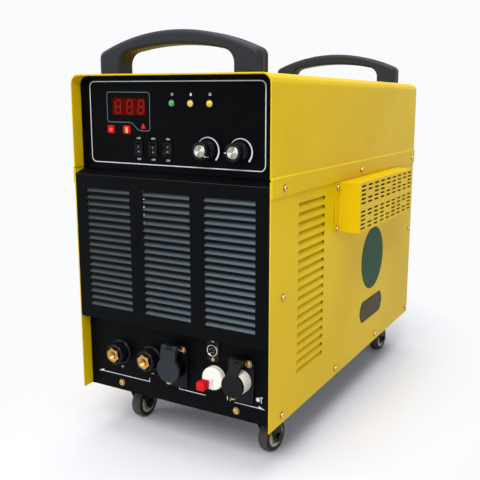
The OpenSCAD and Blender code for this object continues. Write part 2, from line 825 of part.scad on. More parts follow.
// Two ears and the disc of a hinged lid; up is its own +Y, out its +Z.
module lid(disc_r, out, up, axis_out, r, near, far) {
  face = out + seat_gap;
  translate([0, 0, face]) cylinder(h = lid_t, r = disc_r);
  for (s = [-1, 1]) along_x(s > 0 ? near : -far, s > 0 ? far : -near) {
    translate([up, axis_out]) circle(r);
    polygon([[disc_r - 7, face], [disc_r - 7, face + lid_t], [disc_r - 2, face + lid_t],
             [up + r * 0.6, axis_out + r * 0.8], [up - r * 0.8, axis_out - r * 0.6],
             [disc_r + 1, face]]);
  }
}

module outlet_lid() color([0.06, 0.08, 0.10]) {
  out_front(outlet_x, outlet_z) difference() {
    lid(outlet_r + 1.5, outlet_out, hinge_up - 1, hinge_out, hinge_r, 5 + seat_gap, 14);
    translate([0, hinge_up - 1, hinge_out]) rod_x(pin_r + run_clear, -15, 15);
  }
}

module outlet_pin() color("silver") {
  out_front(outlet_x, outlet_z) translate([0, hinge_up - 1, hinge_out]) rod_x(pin_r, -14.5, 14.5);
}

module pilot_socket() color("silver") {
  out_front(pilot_x, pilot_z) {
    linear_extrude(1.5) difference() {
      round_rect(21, 38, 5);
      circle(pilot_bore_r);
      for (s = [-1, 1]) translate([0, s * pilot_screw_z]) circle(pilot_screw_r + run_clear);
    }
    ring(pilot_r, pilot_bore_r, 5);
    translate([0, 0, -6]) ring(pilot_r - 1, pilot_bore_r, 7);
    translate([0, 0, -17]) cylinder(h = 16, r = pilot_bore_r - run_clear);
  }
}

// White bonnet of the air valve, with the stem that carries the red knob.
module air_fitting() color([0.93, 0.93, 0.90]) {
  edge_r = 4;
  out_front(fitting_x, fitting_z) {
    rotate_extrude() {
      square([fitting_r, fitting_out - edge_r]);
      square([fitting_r - edge_r, fitting_out]);
      translate([fitting_r - edge_r, fitting_out - edge_r]) circle(edge_r);
    }
    translate([0, 0, -26]) cylinder(h = 27, r = stud_r);
    cylinder(h = valve_near - 0.4, r = stem_r + 2);
    cylinder(h = valve_far - 4, r = stem_r);
  }
}

module valve_knob() color([0.8, 0.05, 0.08]) {
  out_front(fitting_x, fitting_z) difference() {
    translate([0, 0, valve_near]) linear_extrude(valve_far - valve_near) round_rect(valve_w, valve_w, 2);
    translate([0, 0, valve_near - through])
      cylinder(h = valve_far - valve_near - 3.4 + through, r = stem_r + run_clear);
  }
}

module inlet_body() color([0.92, 0.90, 0.84]) {
  out_front(inlet_x, inlet_z) difference() {
    union() {
      connector_flange();
      cylinder(h = inlet_out, r = inlet_r);
      translate([0, 0, -26]) cylinder(h = 27, r = inlet_r - 2);
      hinge_lug(cap_hinge_up, cap_hinge_out, cap_hinge_r, 4);
    }
    translate([0, 0, 6]) cylinder(h = inlet_out, r = inlet_r - 3);
    translate([0, cap_hinge_up, cap_hinge_out]) rod_x(pin_r + run_clear, -6, 6);
  }
  out_front(inlet_x, inlet_z) for (a = [90, 210, 330])
    rotate(a) translate([7, 0, 5]) cylinder(h = 11, r = 2.2);
}

module inlet_cap() color([0.06, 0.07, 0.08]) {
  out_front(inlet_x, inlet_z) {
    lid(inlet_r + 0.4, inlet_out, cap_hinge_up, cap_hinge_out, cap_hinge_r, 4 + seat_gap, 9);
    translate([0, cap_hinge_up, cap_hinge_out]) rod_x(pin_r, -6, 6);
  }
}

// ---------- casters ----------

module caster_plates() color("silver") {
  for (cx = [-caster_x, caster_x], cy = [-caster_y, caster_y]) translate([cx, cy, 0]) {
    difference() {
      translate([0, 0, plate_z]) linear_extrude(plate_t) round_rect(plate_w, plate_l, 6);
      translate([0, 0, plate_z - through]) corners(plate_bolt_x, plate_bolt_y)
        cylinder(h = plate_t + 2 * through, r = bolt_r + run_clear);
    }
    translate([0, 0, race_z + seat_gap]) cylinder(h = race_h - seat_gap, r = race_r);
    translate([0, 0, fork_z - 3]) cylinder(h = race_h, r = king_r);
    translate([0, 0, fork_z - 3]) cylinder(h = 3 - seat_gap, r = king_r + 3);
  }
}

// Puts a caster's piece at its swivel, at its resting turn; -1 is left or front, 1 right or rear.
module at_caster(sx, sy) {
  turn = caster_turn[(sx + 1) / 2 + sy + 1];
  translate([sx * caster_x, sy * caster_y, 0]) rotate(-turn) children();
}

// Swivel fork with its axle bolt, its wheel towards +Y.
module fork(sx, sy) {
  leg_x = tyre_w / 2 + leg_gap;
  at_caster(sx, sy) {
    difference() {
      union() {
        translate([0, 0, fork_z]) cylinder(h = fork_t, r = race_r + 1);
        translate([-leg_x - leg_t, -8, fork_z]) cube([2 * (leg_x + leg_t), trail + 12, fork_t]);
        for (s = [-1, 1]) along_x(s > 0 ? leg_x : -leg_x - leg_t, s > 0 ? leg_x + leg_t : -leg_x) {
          polygon([[-8, fork_z + 1], [trail + 4, fork_z + 1],
                   [trail + leg_tip_r, wheel_r], [trail - leg_tip_r, wheel_r]]);
          translate([trail, wheel_r]) circle(leg_tip_r);
        }
      }
      translate([0, 0, fork_z - through]) cylinder(h = fork_t + 2 * through, r = king_r + run_clear);
      translate([0, trail, wheel_r]) rod_x(axle_r + run_clear, -tyre_w, tyre_w);
    }
    translate([0, trail, wheel_r]) {
      rod_x(axle_r, -leg_x - leg_t - 1, leg_x + leg_t + 1);
      for (s = [-1, 1]) translate([s * (leg_x + leg_t + 2 + run_clear), 0, 0]) rotate([0, 90, 0])
        cylinder(h = 4, r = axle_r * 1.85, center = true, $fn = 6);
    }
  }
}

// Wheel centre on its axle: a boss, a thinner web and a rim.
module hub(sx, sy) {
  boss = tyre_w / 2;
  rim = boss - 1;
  web = boss - 4;
  boss_r = axle_r + 3;
  bore = axle_r + run_clear;
  well_r = rim_r - 3;
  at_caster(sx, sy) translate([0, trail, wheel_r]) rotate([0, 90, 0]) rotate_extrude()
    polygon([[bore, -boss], [boss_r, -boss], [boss_r, -web], [well_r, -web], [well_r, -rim],
             [rim_r, -rim], [rim_r, rim], [well_r, rim], [well_r, web], [boss_r, web],
             [boss_r, boss], [bore, boss]]);
}

module tyre(sx, sy) {
  shoulder = 3.5;
  at_caster(sx, sy) translate([0, trail, wheel_r]) rotate([0, 90, 0]) rotate_extrude($fn = 72) {
    translate([rim_r + run_clear, -tyre_w / 2]) square([wheel_r - shoulder - rim_r - run_clear, tyre_w]);
    translate([rim_r + run_clear, -tyre_w / 2 + shoulder])
      square([wheel_r - rim_r - run_clear, tyre_w - 2 * shoulder]);
    for (s = [-1, 1]) translate([wheel_r - shoulder, s * (tyre_w / 2 - shoulder)]) circle(shoulder);
  }
}

module fork_front_left() color([0.08, 0.08, 0.08]) fork(-1, -1);
module fork_front_right() color([0.08, 0.08, 0.08]) fork(1, -1);
module fork_rear_left() color([0.08, 0.08, 0.08]) fork(-1, 1);
module fork_rear_right() color([0.08, 0.08, 0.08]) fork(1, 1);
module hub_front_left() color([0.75, 0.72, 0.60]) hub(-1, -1);
module hub_front_right() color([0.75, 0.72, 0.60]) hub(1, -1);
module hub_rear_left() color([0.75, 0.72, 0.60]) hub(-1, 1);
module hub_rear_right() color([0.75, 0.72, 0.60]) hub(1, 1);
module tyre_front_left() color([0.10, 0.10, 0.10]) tyre(-1, -1);
module tyre_front_right() color([0.10, 0.10, 0.10]) tyre(1, -1);
module tyre_rear_left() color([0.10, 0.10, 0.10]) tyre(-1, 1);
module tyre_rear_right() color([0.10, 0.10, 0.10]) tyre(1, 1);

// ---------- rear fittings ----------

// Fan housing behind the rear panel; its motor post stands on four struts.
module fan_frame() color([0.10, 0.10, 0.10]) {
  inner_y = back_y - panel_t - fan_d;
  translate([fan_x, inner_y, fan_z]) rotate([-90, 0, 0]) {
    difference() {
      translate([-fan_w / 2, -fan_w / 2, 0]) cube([fan_w, fan_w, fan_d]);
      translate([0, 0, -through]) cylinder(h = fan_d + 2 * through, r = fan_bore_r, $fn = 96);
      corners(fan_screw, fan_screw) translate([0, 0, fan_d - 12])
        cylinder(h = 12 + through, r = screw_r + run_clear);
    }
    cylinder(h = 10, r = fan_post_r);
    for (a = [45:90:315]) rotate(a) translate([fan_post_r - 2, -4, 0])
      cube([fan_bore_r - fan_post_r + 4, 8, 5]);
    cylinder(h = fan_d - 8, r = shaft_r);
  }
}

module fan_rotor() color([0.14, 0.14, 0.15]) {
  rotor_h = 23;
  translate([fan_x, back_y - panel_t - fan_d + 11, fan_z]) rotate([-90, 0, 0]) difference() {
    union() {
      cylinder(h = rotor_h, r = fan_post_r);
      for (i = [0:fan_blades - 1]) rotate(i * 360 / fan_blades) translate([fan_post_r - 2, 0, rotor_h / 2])
        rotate([38, 0, 0]) translate([0, -1.2, -13]) cube([fan_bore_r - fan_post_r - 1, 2.4, 26]);
    }
    translate([0, 0, -through]) cylinder(h = rotor_h - 1, r = shaft_r + run_clear);
  }
}

// Wire guard over the fan, on four corner eyes.
module fan_guard() color("silver") {
  wire_r = 1.2;
  guard_lug_r = screw_head_r + 1.5;
  wire_reach = fan_screw * sqrt(2) - screw_head_r - run_clear;
  out_rear(fan_x, fan_z) {
    for (r = [18:10:68]) rotate_extrude($fn = 96) translate([r, 1.5 + 0.8 * wire_r]) circle(wire_r);
    for (a = [45, 135]) rotate(a) translate([0, 0, 1.5])
      rotate([0, 90, 0]) cylinder(h = 2 * wire_reach, r = wire_r, center = true);
    corners(fan_screw, fan_screw) ring(guard_lug_r, screw_r + run_clear, 1.5);
  }
}

module breaker() color([0.12, 0.12, 0.13]) {
  out_rear(breaker_x, breaker_z) difference() {
    union() {
      translate([-35, -40, -panel_t - 60]) cube([70, 80, 60]);
      translate([-24.5, -22.5, -panel_t - 1]) cube([49, 45, panel_t + 6]);
    }
    translate([-17, -14, -8]) cube([34, 28, 16]);
    translate([0, 0, -4]) rod_x(2 + run_clear, -19, 19);
  }
}

// Toggle of the breaker, at its lower, off position.
module breaker_lever() color([0.05, 0.05, 0.05]) {
  out_rear(breaker_x, breaker_z) translate([0, 0, -4]) rotate([-30, 0, 0]) {
    translate([-15, -2.5, -2]) cube([30, 5, 15]);
    rod_x(3.4, -15, 15);
    rod_x(2, -18, 18);
  }
}

module cable_gland() color([0.10, 0.10, 0.10]) {
  out_rear(gland_x, gland_z) difference() {
    union() {
      translate([0, 0, -12]) cylinder(h = 13, r = gland_r + 4);
      cylinder(h = 7, r = gland_r + 9, $fn = 6);
      translate([0, 0, 7]) cylinder(h = gland_out - 12, r = gland_r + 6);
      translate([0, 0, gland_out - 5]) cylinder(h = 5, r1 = gland_r + 6, r2 = gland_r + 3);
      translate([0, 0, -panel_t - 5]) cylinder(h = 5, r = gland_r + 9, $fn = 6);
    }
    translate([0, 0, -12 - through]) cylinder(h = gland_out + 12 + 2 * through, r = gland_r);
  }
}

// ---------- insides ----------

// Two-cylinder air compressor: motor along Y, a crankcase and a finned cylinder at each end.
module compressor() color([0.60, 0.62, 0.64]) {
  head_y = comp_l / 2 + 22;
  translate([0, comp_y, comp_z]) {
    rotate([90, 0, 0]) cylinder(h = comp_l, r = comp_r, center = true);
    for (s = [-1, 1]) translate([0, s * head_y, 0]) {
      translate([-40, -26, -50]) cube([80, 52, 90]);
      translate([0, 0, 39]) cylinder(h = 60, r = 20);
      for (i = [0:5]) translate([0, 0, 50 + i * 8]) cylinder(h = 3, r = 29);
      translate([-30, -26.5, 98]) cube([60, 53, 10]);
    }
  }
  translate([-70, comp_y - head_y - 22, floor_top + foot_h])
    cube([140, 2 * head_y + 44, comp_z - 50 - floor_top - foot_h + 2]);
}

module compressor_feet() color([0.08, 0.08, 0.08]) {
  for (sx = [-1, 1], sy = [-1, 1])
    translate([sx * 55, comp_y + sy * (comp_l / 2 + 25), floor_top]) cylinder(h = foot_h, r1 = 16, r2 = 13);
}

// Laminated core with its winding, standing on the shelf.
module transformer() color([0.45, 0.30, 0.18]) {
  foot_z = shelf_z;
  translate([-60, shelf_front + 50, foot_z]) {
    difference() {
      cube([120, 60, 100]);
      for (x = [20, 75]) translate([x, -through, 20]) cube([25, 60 + 2 * through, 60]);
    }
    translate([21, -14, 20]) difference() {
      cube([78, 88, 58]);
      translate([23, 13, -through]) cube([32, 62, 58 + 2 * through]);
    }
  }
}

// Finned heatsink with its power modules, standing on the shelf.
module heatsink() color("silver") {
  translate([-100, shelf_front + 190, shelf_z]) {
    cube([200, 150, 10]);
    for (i = [0:11]) translate([i * 17.6, 0, 10]) cube([4, 150, 55]);
  }
}

base_plate();
mid_shelf();
control_panel();
louvre_panel();
lower_panel();
rear_panel();
side_panel_left();
side_panel_right();
top_cover();
vent_box();
front_handle();
rear_handle();
hex_bolts();
case_screws();
display_window();
display_module();
status_lamps();
warning_lamps();
rocker_bezels();
rocker_left();
rocker_middle();
rocker_right();
current_knob();
current_knob_cap();
pressure_knob();
pressure_knob_cap();
potentiometers();
terminal_rings();
terminal_nuts();
outlet_body();
outlet_lid();
outlet_pin();
pilot_socket();
air_fitting();
valve_knob();
inlet_body();
inlet_cap();
caster_plates();
fork_front_left();
hub_front_left();
tyre_front_left();
fork_front_right();
hub_front_right();
tyre_front_right();
fork_rear_left();
hub_rear_left();
tyre_rear_left();
fork_rear_right();
hub_rear_right();
tyre_rear_right();
fan_frame();
fan_rotor();
fan_guard();
breaker();
breaker_lever();
cable_gland();
compressor();
compressor_feet();
transformer();
heatsink();
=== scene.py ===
"""Plasma cutter unit: the finishes and the detailed pieces around its fixed frame.

Pieces are modelled in millimetres and put into the frame's metres by settle().
"""

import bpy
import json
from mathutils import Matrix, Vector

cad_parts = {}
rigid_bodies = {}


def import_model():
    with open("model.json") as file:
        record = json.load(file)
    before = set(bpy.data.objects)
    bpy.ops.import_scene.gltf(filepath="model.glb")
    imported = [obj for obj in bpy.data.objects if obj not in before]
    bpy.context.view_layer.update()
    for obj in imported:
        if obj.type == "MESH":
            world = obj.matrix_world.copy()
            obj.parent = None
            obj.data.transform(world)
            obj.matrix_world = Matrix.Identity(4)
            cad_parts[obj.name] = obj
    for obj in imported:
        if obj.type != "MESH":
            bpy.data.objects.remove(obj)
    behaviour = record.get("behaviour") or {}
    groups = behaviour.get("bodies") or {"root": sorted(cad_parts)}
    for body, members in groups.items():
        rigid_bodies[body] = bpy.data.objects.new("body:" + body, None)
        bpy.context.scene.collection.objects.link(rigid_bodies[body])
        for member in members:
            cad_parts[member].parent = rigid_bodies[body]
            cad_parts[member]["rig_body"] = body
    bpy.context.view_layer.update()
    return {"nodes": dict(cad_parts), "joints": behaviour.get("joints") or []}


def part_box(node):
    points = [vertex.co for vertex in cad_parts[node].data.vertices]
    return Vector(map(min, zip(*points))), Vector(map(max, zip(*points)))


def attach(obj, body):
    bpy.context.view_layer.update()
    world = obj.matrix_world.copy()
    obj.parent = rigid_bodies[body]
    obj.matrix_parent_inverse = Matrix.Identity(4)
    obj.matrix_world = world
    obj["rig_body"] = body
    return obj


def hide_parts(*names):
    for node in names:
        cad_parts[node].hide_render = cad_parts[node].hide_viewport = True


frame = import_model()

import json
import math
from contextlib import contextmanager

import bmesh
import bpy
from bpy.props import FloatProperty, FloatVectorProperty, IntProperty, PointerProperty
from mathutils import Matrix, Vector

bl_info = {
    "name": "Plasma cutter unit",
    "version": (1, 0, 0),
    "blender": (4, 5, 0),
    "location": "View3D > Sidebar > Plasma cutter",
    "description": "Builds the casing, controls, connectors and casters of a plasma cutter",
    "category": "Add Mesh",
}

MM = 0.001
MERGE = 0.001          # points closer than this are one point, in mm
CAD_MERGE = 0.004      # the same for copies of CAD nodes
TINY = 0.05            # slack when a spot is compared with a plane, in mm
ARC_OPEN = (0, 345, 23)  # angles and steps of a circle that a cyclic outline closes
WHEELS = ("front_left", "front_right", "rear_left", "rear_right")
BACKDROP = (0.955, 0.965, 0.98, 1.0)


# ---------- sizes and colours ----------

def length(label, default, note):
    """A size in millimetres."""
    return FloatProperty(name=label, description=note, default=default, min=0.0)


def colour(label, default, note):
    """A colour as it is seen, with its gamma."""
    return FloatVectorProperty(name=label, description=note, default=default, size=3,
                               min=0.0, max=1.0, subtype="COLOR_GAMMA")


class CutterSizes(bpy.types.PropertyGroup):
    sheet_edge: length("Sheet edge", 0.3, "Rounding of cut and folded sheet edges, in mm")
    handle_outer: length("Handle outside", 7.0, "Rounding of a handle's outer edges, in mm")
    handle_inner: length("Handle inside", 4.5, "Rounding of a handle's inner edges, in mm")
    grip_w: length("Hand gap", 200.0, "Width of the gap for the hand, in mm")
    grip_h: length("Hand gap height", 42.0, "Height of the gap for the hand, in mm")
    line_w: length("Printed line", 1.4, "Width of the line round the control panel, in mm")
    thin_line_w: length("Thin printed line", 1.0, "Width of the line round the display, in mm")
    print_t: length("Print thickness", 0.08, "Thickness of printed marks, in mm")
    knob_flutes: IntProperty(name="Knob flutes", description="Flutes round each knob",
                             default=24, min=6, max=60)
    badge_d: length("Badge", 120.0, "Diameter of the round badge, in mm")
    plate_w: length("Plate", 128.0, "Length of the dark plate under the badge, in mm")
    plate_h: length("Plate height", 41.0, "Height of the dark plate under the badge, in mm")


class CutterColours(bpy.types.PropertyGroup):
    yellow: colour("Yellow", (0.86, 0.73, 0.05), "Powder coat of the casing")
    yellow_shade: colour("Yellow shade", (0.83, 0.69, 0.045), "Darker patches of the powder coat")
    panel_black: colour("Panel black", (0.02, 0.023, 0.03), "Powder coat of the front and rear")
    # The louvre grey is a painted sheen of overhead light on the blades, not a colour of the coat.
    bloom_and_sheen: colour("Bloom", (0.36, 0.40, 0.425), "Grey bloom on the louvre blades")
    handle: colour("Handle", (0.125, 0.135, 0.155), "Grained plastic of the handles")
    plastic: colour("Plastic", (0.045, 0.052, 0.065), "Moulded connectors and switches")
    brass: colour("Brass", (0.82, 0.63, 0.35), "Terminals")
    screw_brass: colour("Screws", (0.93, 0.80, 0.56), "Yellow-passivated screws")
    washer_brass: colour("Washers", (0.70, 0.55, 0.30), "Yellow-passivated washers")
    white: colour("White", (0.93, 0.92, 0.88), "White mouldings")
    red: colour("Red", (0.80, 0.07, 0.10), "Valve knob")
    cream: colour("Wheel centre", (0.72, 0.69, 0.58), "Cream hub of a wheel")
    tyre: colour("Tyre", (0.045, 0.045, 0.045), "Rubber of the tyres")
    print_white: colour("Print", (0.80, 0.82, 0.85), "White print on the panels")
    print_grey: colour("Grey print", (0.36, 0.42, 0.47), "Grey print round the display")
    badge_green: colour("Badge green", (0.07, 0.27, 0.16), "Round badge on the right side")
    plate: colour("Plate", (0.25, 0.225, 0.12), "Dark plate under the badge")
    floor: colour("Floor", (0.885, 0.885, 0.90), "Studio floor")


def sizes():
    return bpy.context.scene.cutter_sizes


def tint(name):
    """A named colour of the scene, made linear for a shader."""
    values = getattr(bpy.context.scene.cutter_colours, name)
    return linear(*values)


def linear(red, green, blue):
    """Linear shader colour of an ordinary one, by the sRGB curve."""
    def straight(v):
        return v / 12.92 if v <= 0.04045 else ((v + 0.055) / 1.055) ** 2.4
    return (straight(red), straight(green), straight(blue), 1.0)


def shade_of(shade):
    """Shader colour of a colour's name or of its three parts."""
    return tint(shade) if isinstance(shade, str) else linear(*shade)


def scaled(base, factor, lift=0.0):
    """A shader colour made lighter or darker by a factor, and lifted a little."""
    return tuple(min(1.0, part * factor + lift) for part in base[:3]) + (1.0,)


# ---------- shader maths ----------

class Signal:
    """A shader socket that takes part in arithmetic: each operation adds one Math node."""

    def __init__(self, finish, socket):
        self.finish = finish
        self.socket = socket

    def step(self, operation, *others):
        return self.finish.maths(operation, self, *others)

    def __add__(self, other):
        return self.step("ADD", other)

    def __sub__(self, other):
        return self.step("SUBTRACT", other)

    def __rsub__(self, other):
        return self.finish.maths("SUBTRACT", other, self)

    def __mul__(self, other):
        return self.step("MULTIPLY", other)

    __radd__ = __add__
    __rmul__ = __mul__

    def spread(self, low, high):
        """0 below low, 1 above high, and a straight rise between them."""
        values = {"Value": self, "From Min": low, "From Max": high}
        return self.finish.node("ShaderNodeMapRange", {"clamp": True}, values)


class Finish:
    """A material that is put together around one Principled shader."""

    def __init__(self, name):
        self.material = bpy.data.materials.new(name)
        self.material.use_nodes = True
        self.tree = self.material.node_tree
        self.shader = self.tree.nodes["Principled BSDF"]
        self.place = self.node("ShaderNodeTexCoord", output="Object")

    def node(self, kind, settings=None, values=None, output=0):
        """Adds a node: its settings first, then the numbers or links of its sockets."""
        made = self.tree.nodes.new(kind)
        for key, value in (settings or {}).items():
            setattr(made, key, value)
        for key, value in (values or {}).items():
            self.feed(made.inputs[key], value)
        return Signal(self, made.outputs[output])

    def feed(self, socket, value):
        if isinstance(value, Signal):
            self.tree.links.new(value.socket, socket)
        else:
            socket.default_value = value

    def set(self, **values):
        """Sets the shader's sockets; base_color stands for Base Color."""
        for key, value in values.items():
            label = key.replace("_", " ").title().replace("Ior", "IOR")
            self.feed(self.shader.inputs[label], value)
        return self

    def maths(self, operation, *values):
        return self.node("ShaderNodeMath", {"operation": operation}, dict(enumerate(values)))

    def split(self, vector):
        """The three parts of a vector."""
        first = self.node("ShaderNodeSeparateXYZ", None, {0: vector})
        return [Signal(self, socket) for socket in first.socket.node.outputs]

    def stretched(self, *scale):
        """Object coordinates multiplied along each axis."""
        return self.node("ShaderNodeMapping", None, {"Vector": self.place, "Scale": scale})

    def centred(self, x, z):
        """Object coordinates measured from a point of the front, in millimetres."""
        return self.node("ShaderNodeVectorMath", {"operation": "SUBTRACT"},
                         {0: self.place, 1: (x * MM, 0.0, z * MM)})

    def noise(self, scale, detail=2.0, roughness=0.5, vector=None):
        values = {"Vector": vector or self.place, "Scale": scale, "Detail": detail,
                  "Roughness": roughness}
        return self.node("ShaderNodeTexNoise", None, values)

    def cells(self, scale):
        return self.node("ShaderNodeTexVoronoi", None, {"Vector": self.place, "Scale": scale})

    def length(self, vector):
        return self.node("ShaderNodeVectorMath", {"operation": "LENGTH"}, {0: vector},
                         output="Value")

    def normal(self):
        """The surface's own direction, in object coordinates."""
        return self.node("ShaderNodeTexCoord", output="Normal")

    def white_to_eye(self, colour, share):
        """Ends the material in a plain glow for camera and glossy rays, as far as share goes."""
        glow = self.node("ShaderNodeEmission", None, {"Color": colour, "Strength": 1.0})
        rays = self.node("ShaderNodeLightPath").socket.node.outputs
        camera, glossy = Signal(self, rays["Is Camera Ray"]), Signal(self, rays["Is Glossy Ray"])
        seen = camera.step("MAXIMUM", glossy)
        mixed = self.node("ShaderNodeMixShader", None, {0: seen * share}).socket.node
        self.tree.links.new(self.shader.outputs[0], mixed.inputs[1])
        self.tree.links.new(glow.socket, mixed.inputs[2])
        self.tree.links.new(mixed.outputs[0], self.tree.nodes["Material Output"].inputs["Surface"])

    def mix(self, factor, first, second):
        values = {0: factor, 6: first, 7: second}
        return self.node("ShaderNodeMix", {"data_type": "RGBA"}, values, output=2)

    def bump(self, height, distance):
        """Surface relief: distance is the height of a full step, in millimetres."""
        values = {"Height": height, "Distance": distance * MM, "Strength": 1.0}
        return self.set(normal=self.node("ShaderNodeBump", None, values))


def finish_once(maker):
    """Makes a finish the first time it is asked for, and hands out the same one after that."""
    made = {}

    def ask(*values):
        if values not in made:
            made[values] = maker(*values).material
        return made[values]
    return ask


# ---------- finishes ----------

@finish_once
def yellow_coat():
    """Glossy yellow powder coat with a slight orange peel and soft cloudy patches."""
    f = Finish("yellow_powder_coat")
    cloud = f.noise(5, 3)
    peel = f.noise(320, 2, 0.4)
    speck = f.noise(1400, 1)
    f.set(base_color=f.mix(cloud.spread(0.35, 0.65), tint("yellow"), tint("yellow_shade")))
    f.set(roughness=0.36 + (cloud - 0.5) * 0.12 + (speck - 0.5) * 0.06, specular_ior_level=0.06)
    return f.bump(peel + speck * 0.15, 0.03)


@finish_once
def black_coat(name="black_powder_coat", roughness=0.42):
    """Fine-textured black powder coat; faces that lean up, as louvre blades do, get a painted grey
    sheen.
    """
    f = Finish(name)
    cloud = f.noise(7, 3)
    grain = f.noise(1700, 2, 0.6)
    dust = f.noise(60, 4, 0.65).spread(0.55, 0.85)
    rise = f.split(f.normal())[2]
    # Painted sheen: faces that lean up get the grey, lighter to the right and lower down.
    upward_sheen_mask = rise.spread(0.3, 0.5) * (1.0 - rise.spread(0.78, 0.9))
    base = tint("panel_black")
    across, _, up = f.split(f.place)
    to_right = across.spread(-0.16, 0.15)
    downwards = 1.0 - up.spread(0.2, 0.45)
    light = 0.25 + to_right * 0.5 + downwards * 0.2 + cloud * 0.2
    coat = f.mix(dust * 0.5, base, scaled(base, 1.5, 0.002))
    f.set(base_color=f.mix(upward_sheen_mask * light, coat, tint("bloom_and_sheen")))
    f.set(roughness=roughness + (cloud - 0.5) * 0.16 + dust * 0.1, specular_ior_level=0.05)
    return f.bump(grain, 0.02)


@finish_once
def control_film():
    """Smooth black polycarbonate film over the control panel."""
    f = Finish("control_film")
    cloud = f.noise(9, 3)
    grain = f.noise(2600, 1)
    smear = f.noise(30, 3, vector=f.stretched(1, 1, 3)).spread(0.45, 0.8)
    f.set(base_color=f.mix(smear, linear(0.012, 0.015, 0.02), linear(0.02, 0.023, 0.028)))
    f.set(roughness=0.34 + (cloud - 0.5) * 0.1 + smear * 0.08, specular_ior_level=0.04)
    return f.bump(grain, 0.006)


@finish_once
def handle_grain():
    """Leather-grained moulded plastic, dusty in the grain."""
    f = Finish("handle_grain")
    pits = f.cells(900).spread(0.05, 0.75)
    broad = f.noise(35, 4, 0.6)
    dust = f.noise(220, 4, 0.7).spread(0.5, 0.8)
    base = tint("handle")
    f.set(base_color=f.mix(dust * 0.45, base, scaled(base, 1.55)))
    f.set(roughness=0.50 + (broad - 0.5) * 0.2, specular_ior_level=0.2)
    return f.bump(pits + broad * 0.4, 0.05)


@finish_once
def moulded(name, shade, roughness, grain=0.02, shine=0.15):
    """Moulded plastic: faint flow marks, fine spark grain and finger-worn gloss."""
    f = Finish(name)
    flow = f.noise(55, 3, 0.55)
    spark = f.noise(1900, 1)
    wear = f.noise(130, 3).spread(0.5, 0.75)
    base = shade_of(shade)
    f.set(base_color=f.mix(wear * 0.6, base, scaled(base, 1.18, 0.002)))
    f.set(roughness=roughness + (flow - 0.5) * 0.12, specular_ior_level=shine)
    return f.bump(spark + flow * 0.5, grain)


@finish_once
def plated(name, shade, roughness, streak=1.0):
    """Plated or machined metal with fine tool marks and a cloudy passivation."""
    f = Finish(name)
    marks = f.noise(260, 3, 0.6, f.stretched(1, 1, 14))
    cloud = f.noise(90, 3)
    base = shade_of(shade)
    f.set(metallic=1.0, base_color=f.mix(cloud.spread(0.35, 0.7), base, scaled(base, 0.72)))
    f.set(roughness=roughness + (marks - 0.5) * 0.18 * streak + (cloud - 0.5) * 0.1)
    return f.bump(marks, 0.008 * streak)


@finish_once
def spun_cap(x, z):
    """Aluminium disc faced on a lathe: fine rings round its centre, and lighter and darker sectors
    painted into its colour as the disc's reflection.
    """
    f = Finish("spun_cap_%d" % round(x))
    across, _, up = f.split(f.centred(x, z))
    angle = up.step("ARCTAN2", across)
    radius = (across * across + up * up).step("SQRT")
    ring_gap = 0.35 * MM
    rings = (radius * (2 * math.pi / ring_gap)).step("SINE")
    # Painted reflection: bright and dark sectors round the centre, fixed on the disc.
    sector = (angle * 2.0 + 0.9).step("SINE")
    narrow = (angle * 4.0 - 0.4).step("SINE")
    sheen = (sector * 0.6 + narrow * 0.4).spread(-0.5, 1.0)
    dark, bright = linear(0.60, 0.57, 0.52), linear(0.97, 0.96, 0.93)
    f.set(metallic=1.0, base_color=f.mix(sheen, dark, bright))
    f.set(roughness=0.30 + rings * 0.05)
    return f.bump(rings, 0.006)


@finish_once
def hub_cream():
    """Cream moulded wheel centre with random patches of brownish grime."""
    f = Finish("hub_cream")
    grime = f.noise(120, 4, 0.65).spread(0.45, 0.8)
    fine = f.noise(1500, 1)
    f.set(base_color=f.mix(grime * 0.6, tint("cream"), linear(0.47, 0.42, 0.32)))
    f.set(roughness=0.45 + grime * 0.2)
    return f.bump(fine + grime, 0.02)


@finish_once
def tyre_rubber(*axle):
    """Black rubber: a dusty brown tread and darker, smoother sides across the axle."""
    f = Finish("tyre_rubber")
    dust = f.noise(90, 4, 0.6)
    scuff = f.noise(500, 3, 0.6)
    along = f.node("ShaderNodeVectorMath", {"operation": "DOT_PRODUCT"},
                   {0: f.normal(), 1: axle}, output="Value")
    tread = 1.0 - along.step("ABSOLUTE").spread(0.55, 0.85)
    road_dust = linear(0.33, 0.315, 0.28)
    f.set(base_color=f.mix(tread * (0.35 + dust * 0.7), tint("tyre"), road_dust))
    f.set(roughness=0.38 + (dust - 0.5) * 0.3 + tread * 0.25, specular_ior_level=0.25)
    return f.bump(scuff, 0.03)


@finish_once
def red_window():
    """Dark red filter over the display."""
    f = Finish("red_window")
    haze = f.noise(60, 3)
    deep, light = linear(0.34, 0.02, 0.01), linear(0.40, 0.03, 0.02)
    f.set(base_color=f.mix(haze.spread(0.3, 0.7), deep, light), specular_ior_level=0.05)
    return f.set(roughness=0.12 + haze * 0.05, alpha=0.45 + (haze - 0.5) * 0.06)


@finish_once
def segments():
    """Lit bars of the display, unevenly bright."""
    f = Finish("display_segments")
    haze = f.noise(300, 2)
    glow = f.mix(haze.spread(0.3, 0.7), linear(0.80, 0.16, 0.08), linear(0.92, 0.22, 0.10))
    f.set(base_color=glow, emission_color=glow, emission_strength=0.55)
    return f.set(roughness=0.5 + (haze - 0.5) * 0.1)


@finish_once
def lamp_lens(name, shade, glow):
    """Coloured lamp lens with a ribbed diffuser under a clear dome."""
    f = Finish(name)
    ribs = f.noise(900, 2, 0.7)
    base, bright = linear(*shade), linear(*glow)
    f.set(base_color=f.mix(ribs.spread(0.35, 0.65), base, bright), roughness=0.14 + ribs * 0.08)
    f.set(coat_weight=1.0, coat_roughness=0.03, emission_color=base, emission_strength=0.12)
    return f.bump(ribs, 0.05)


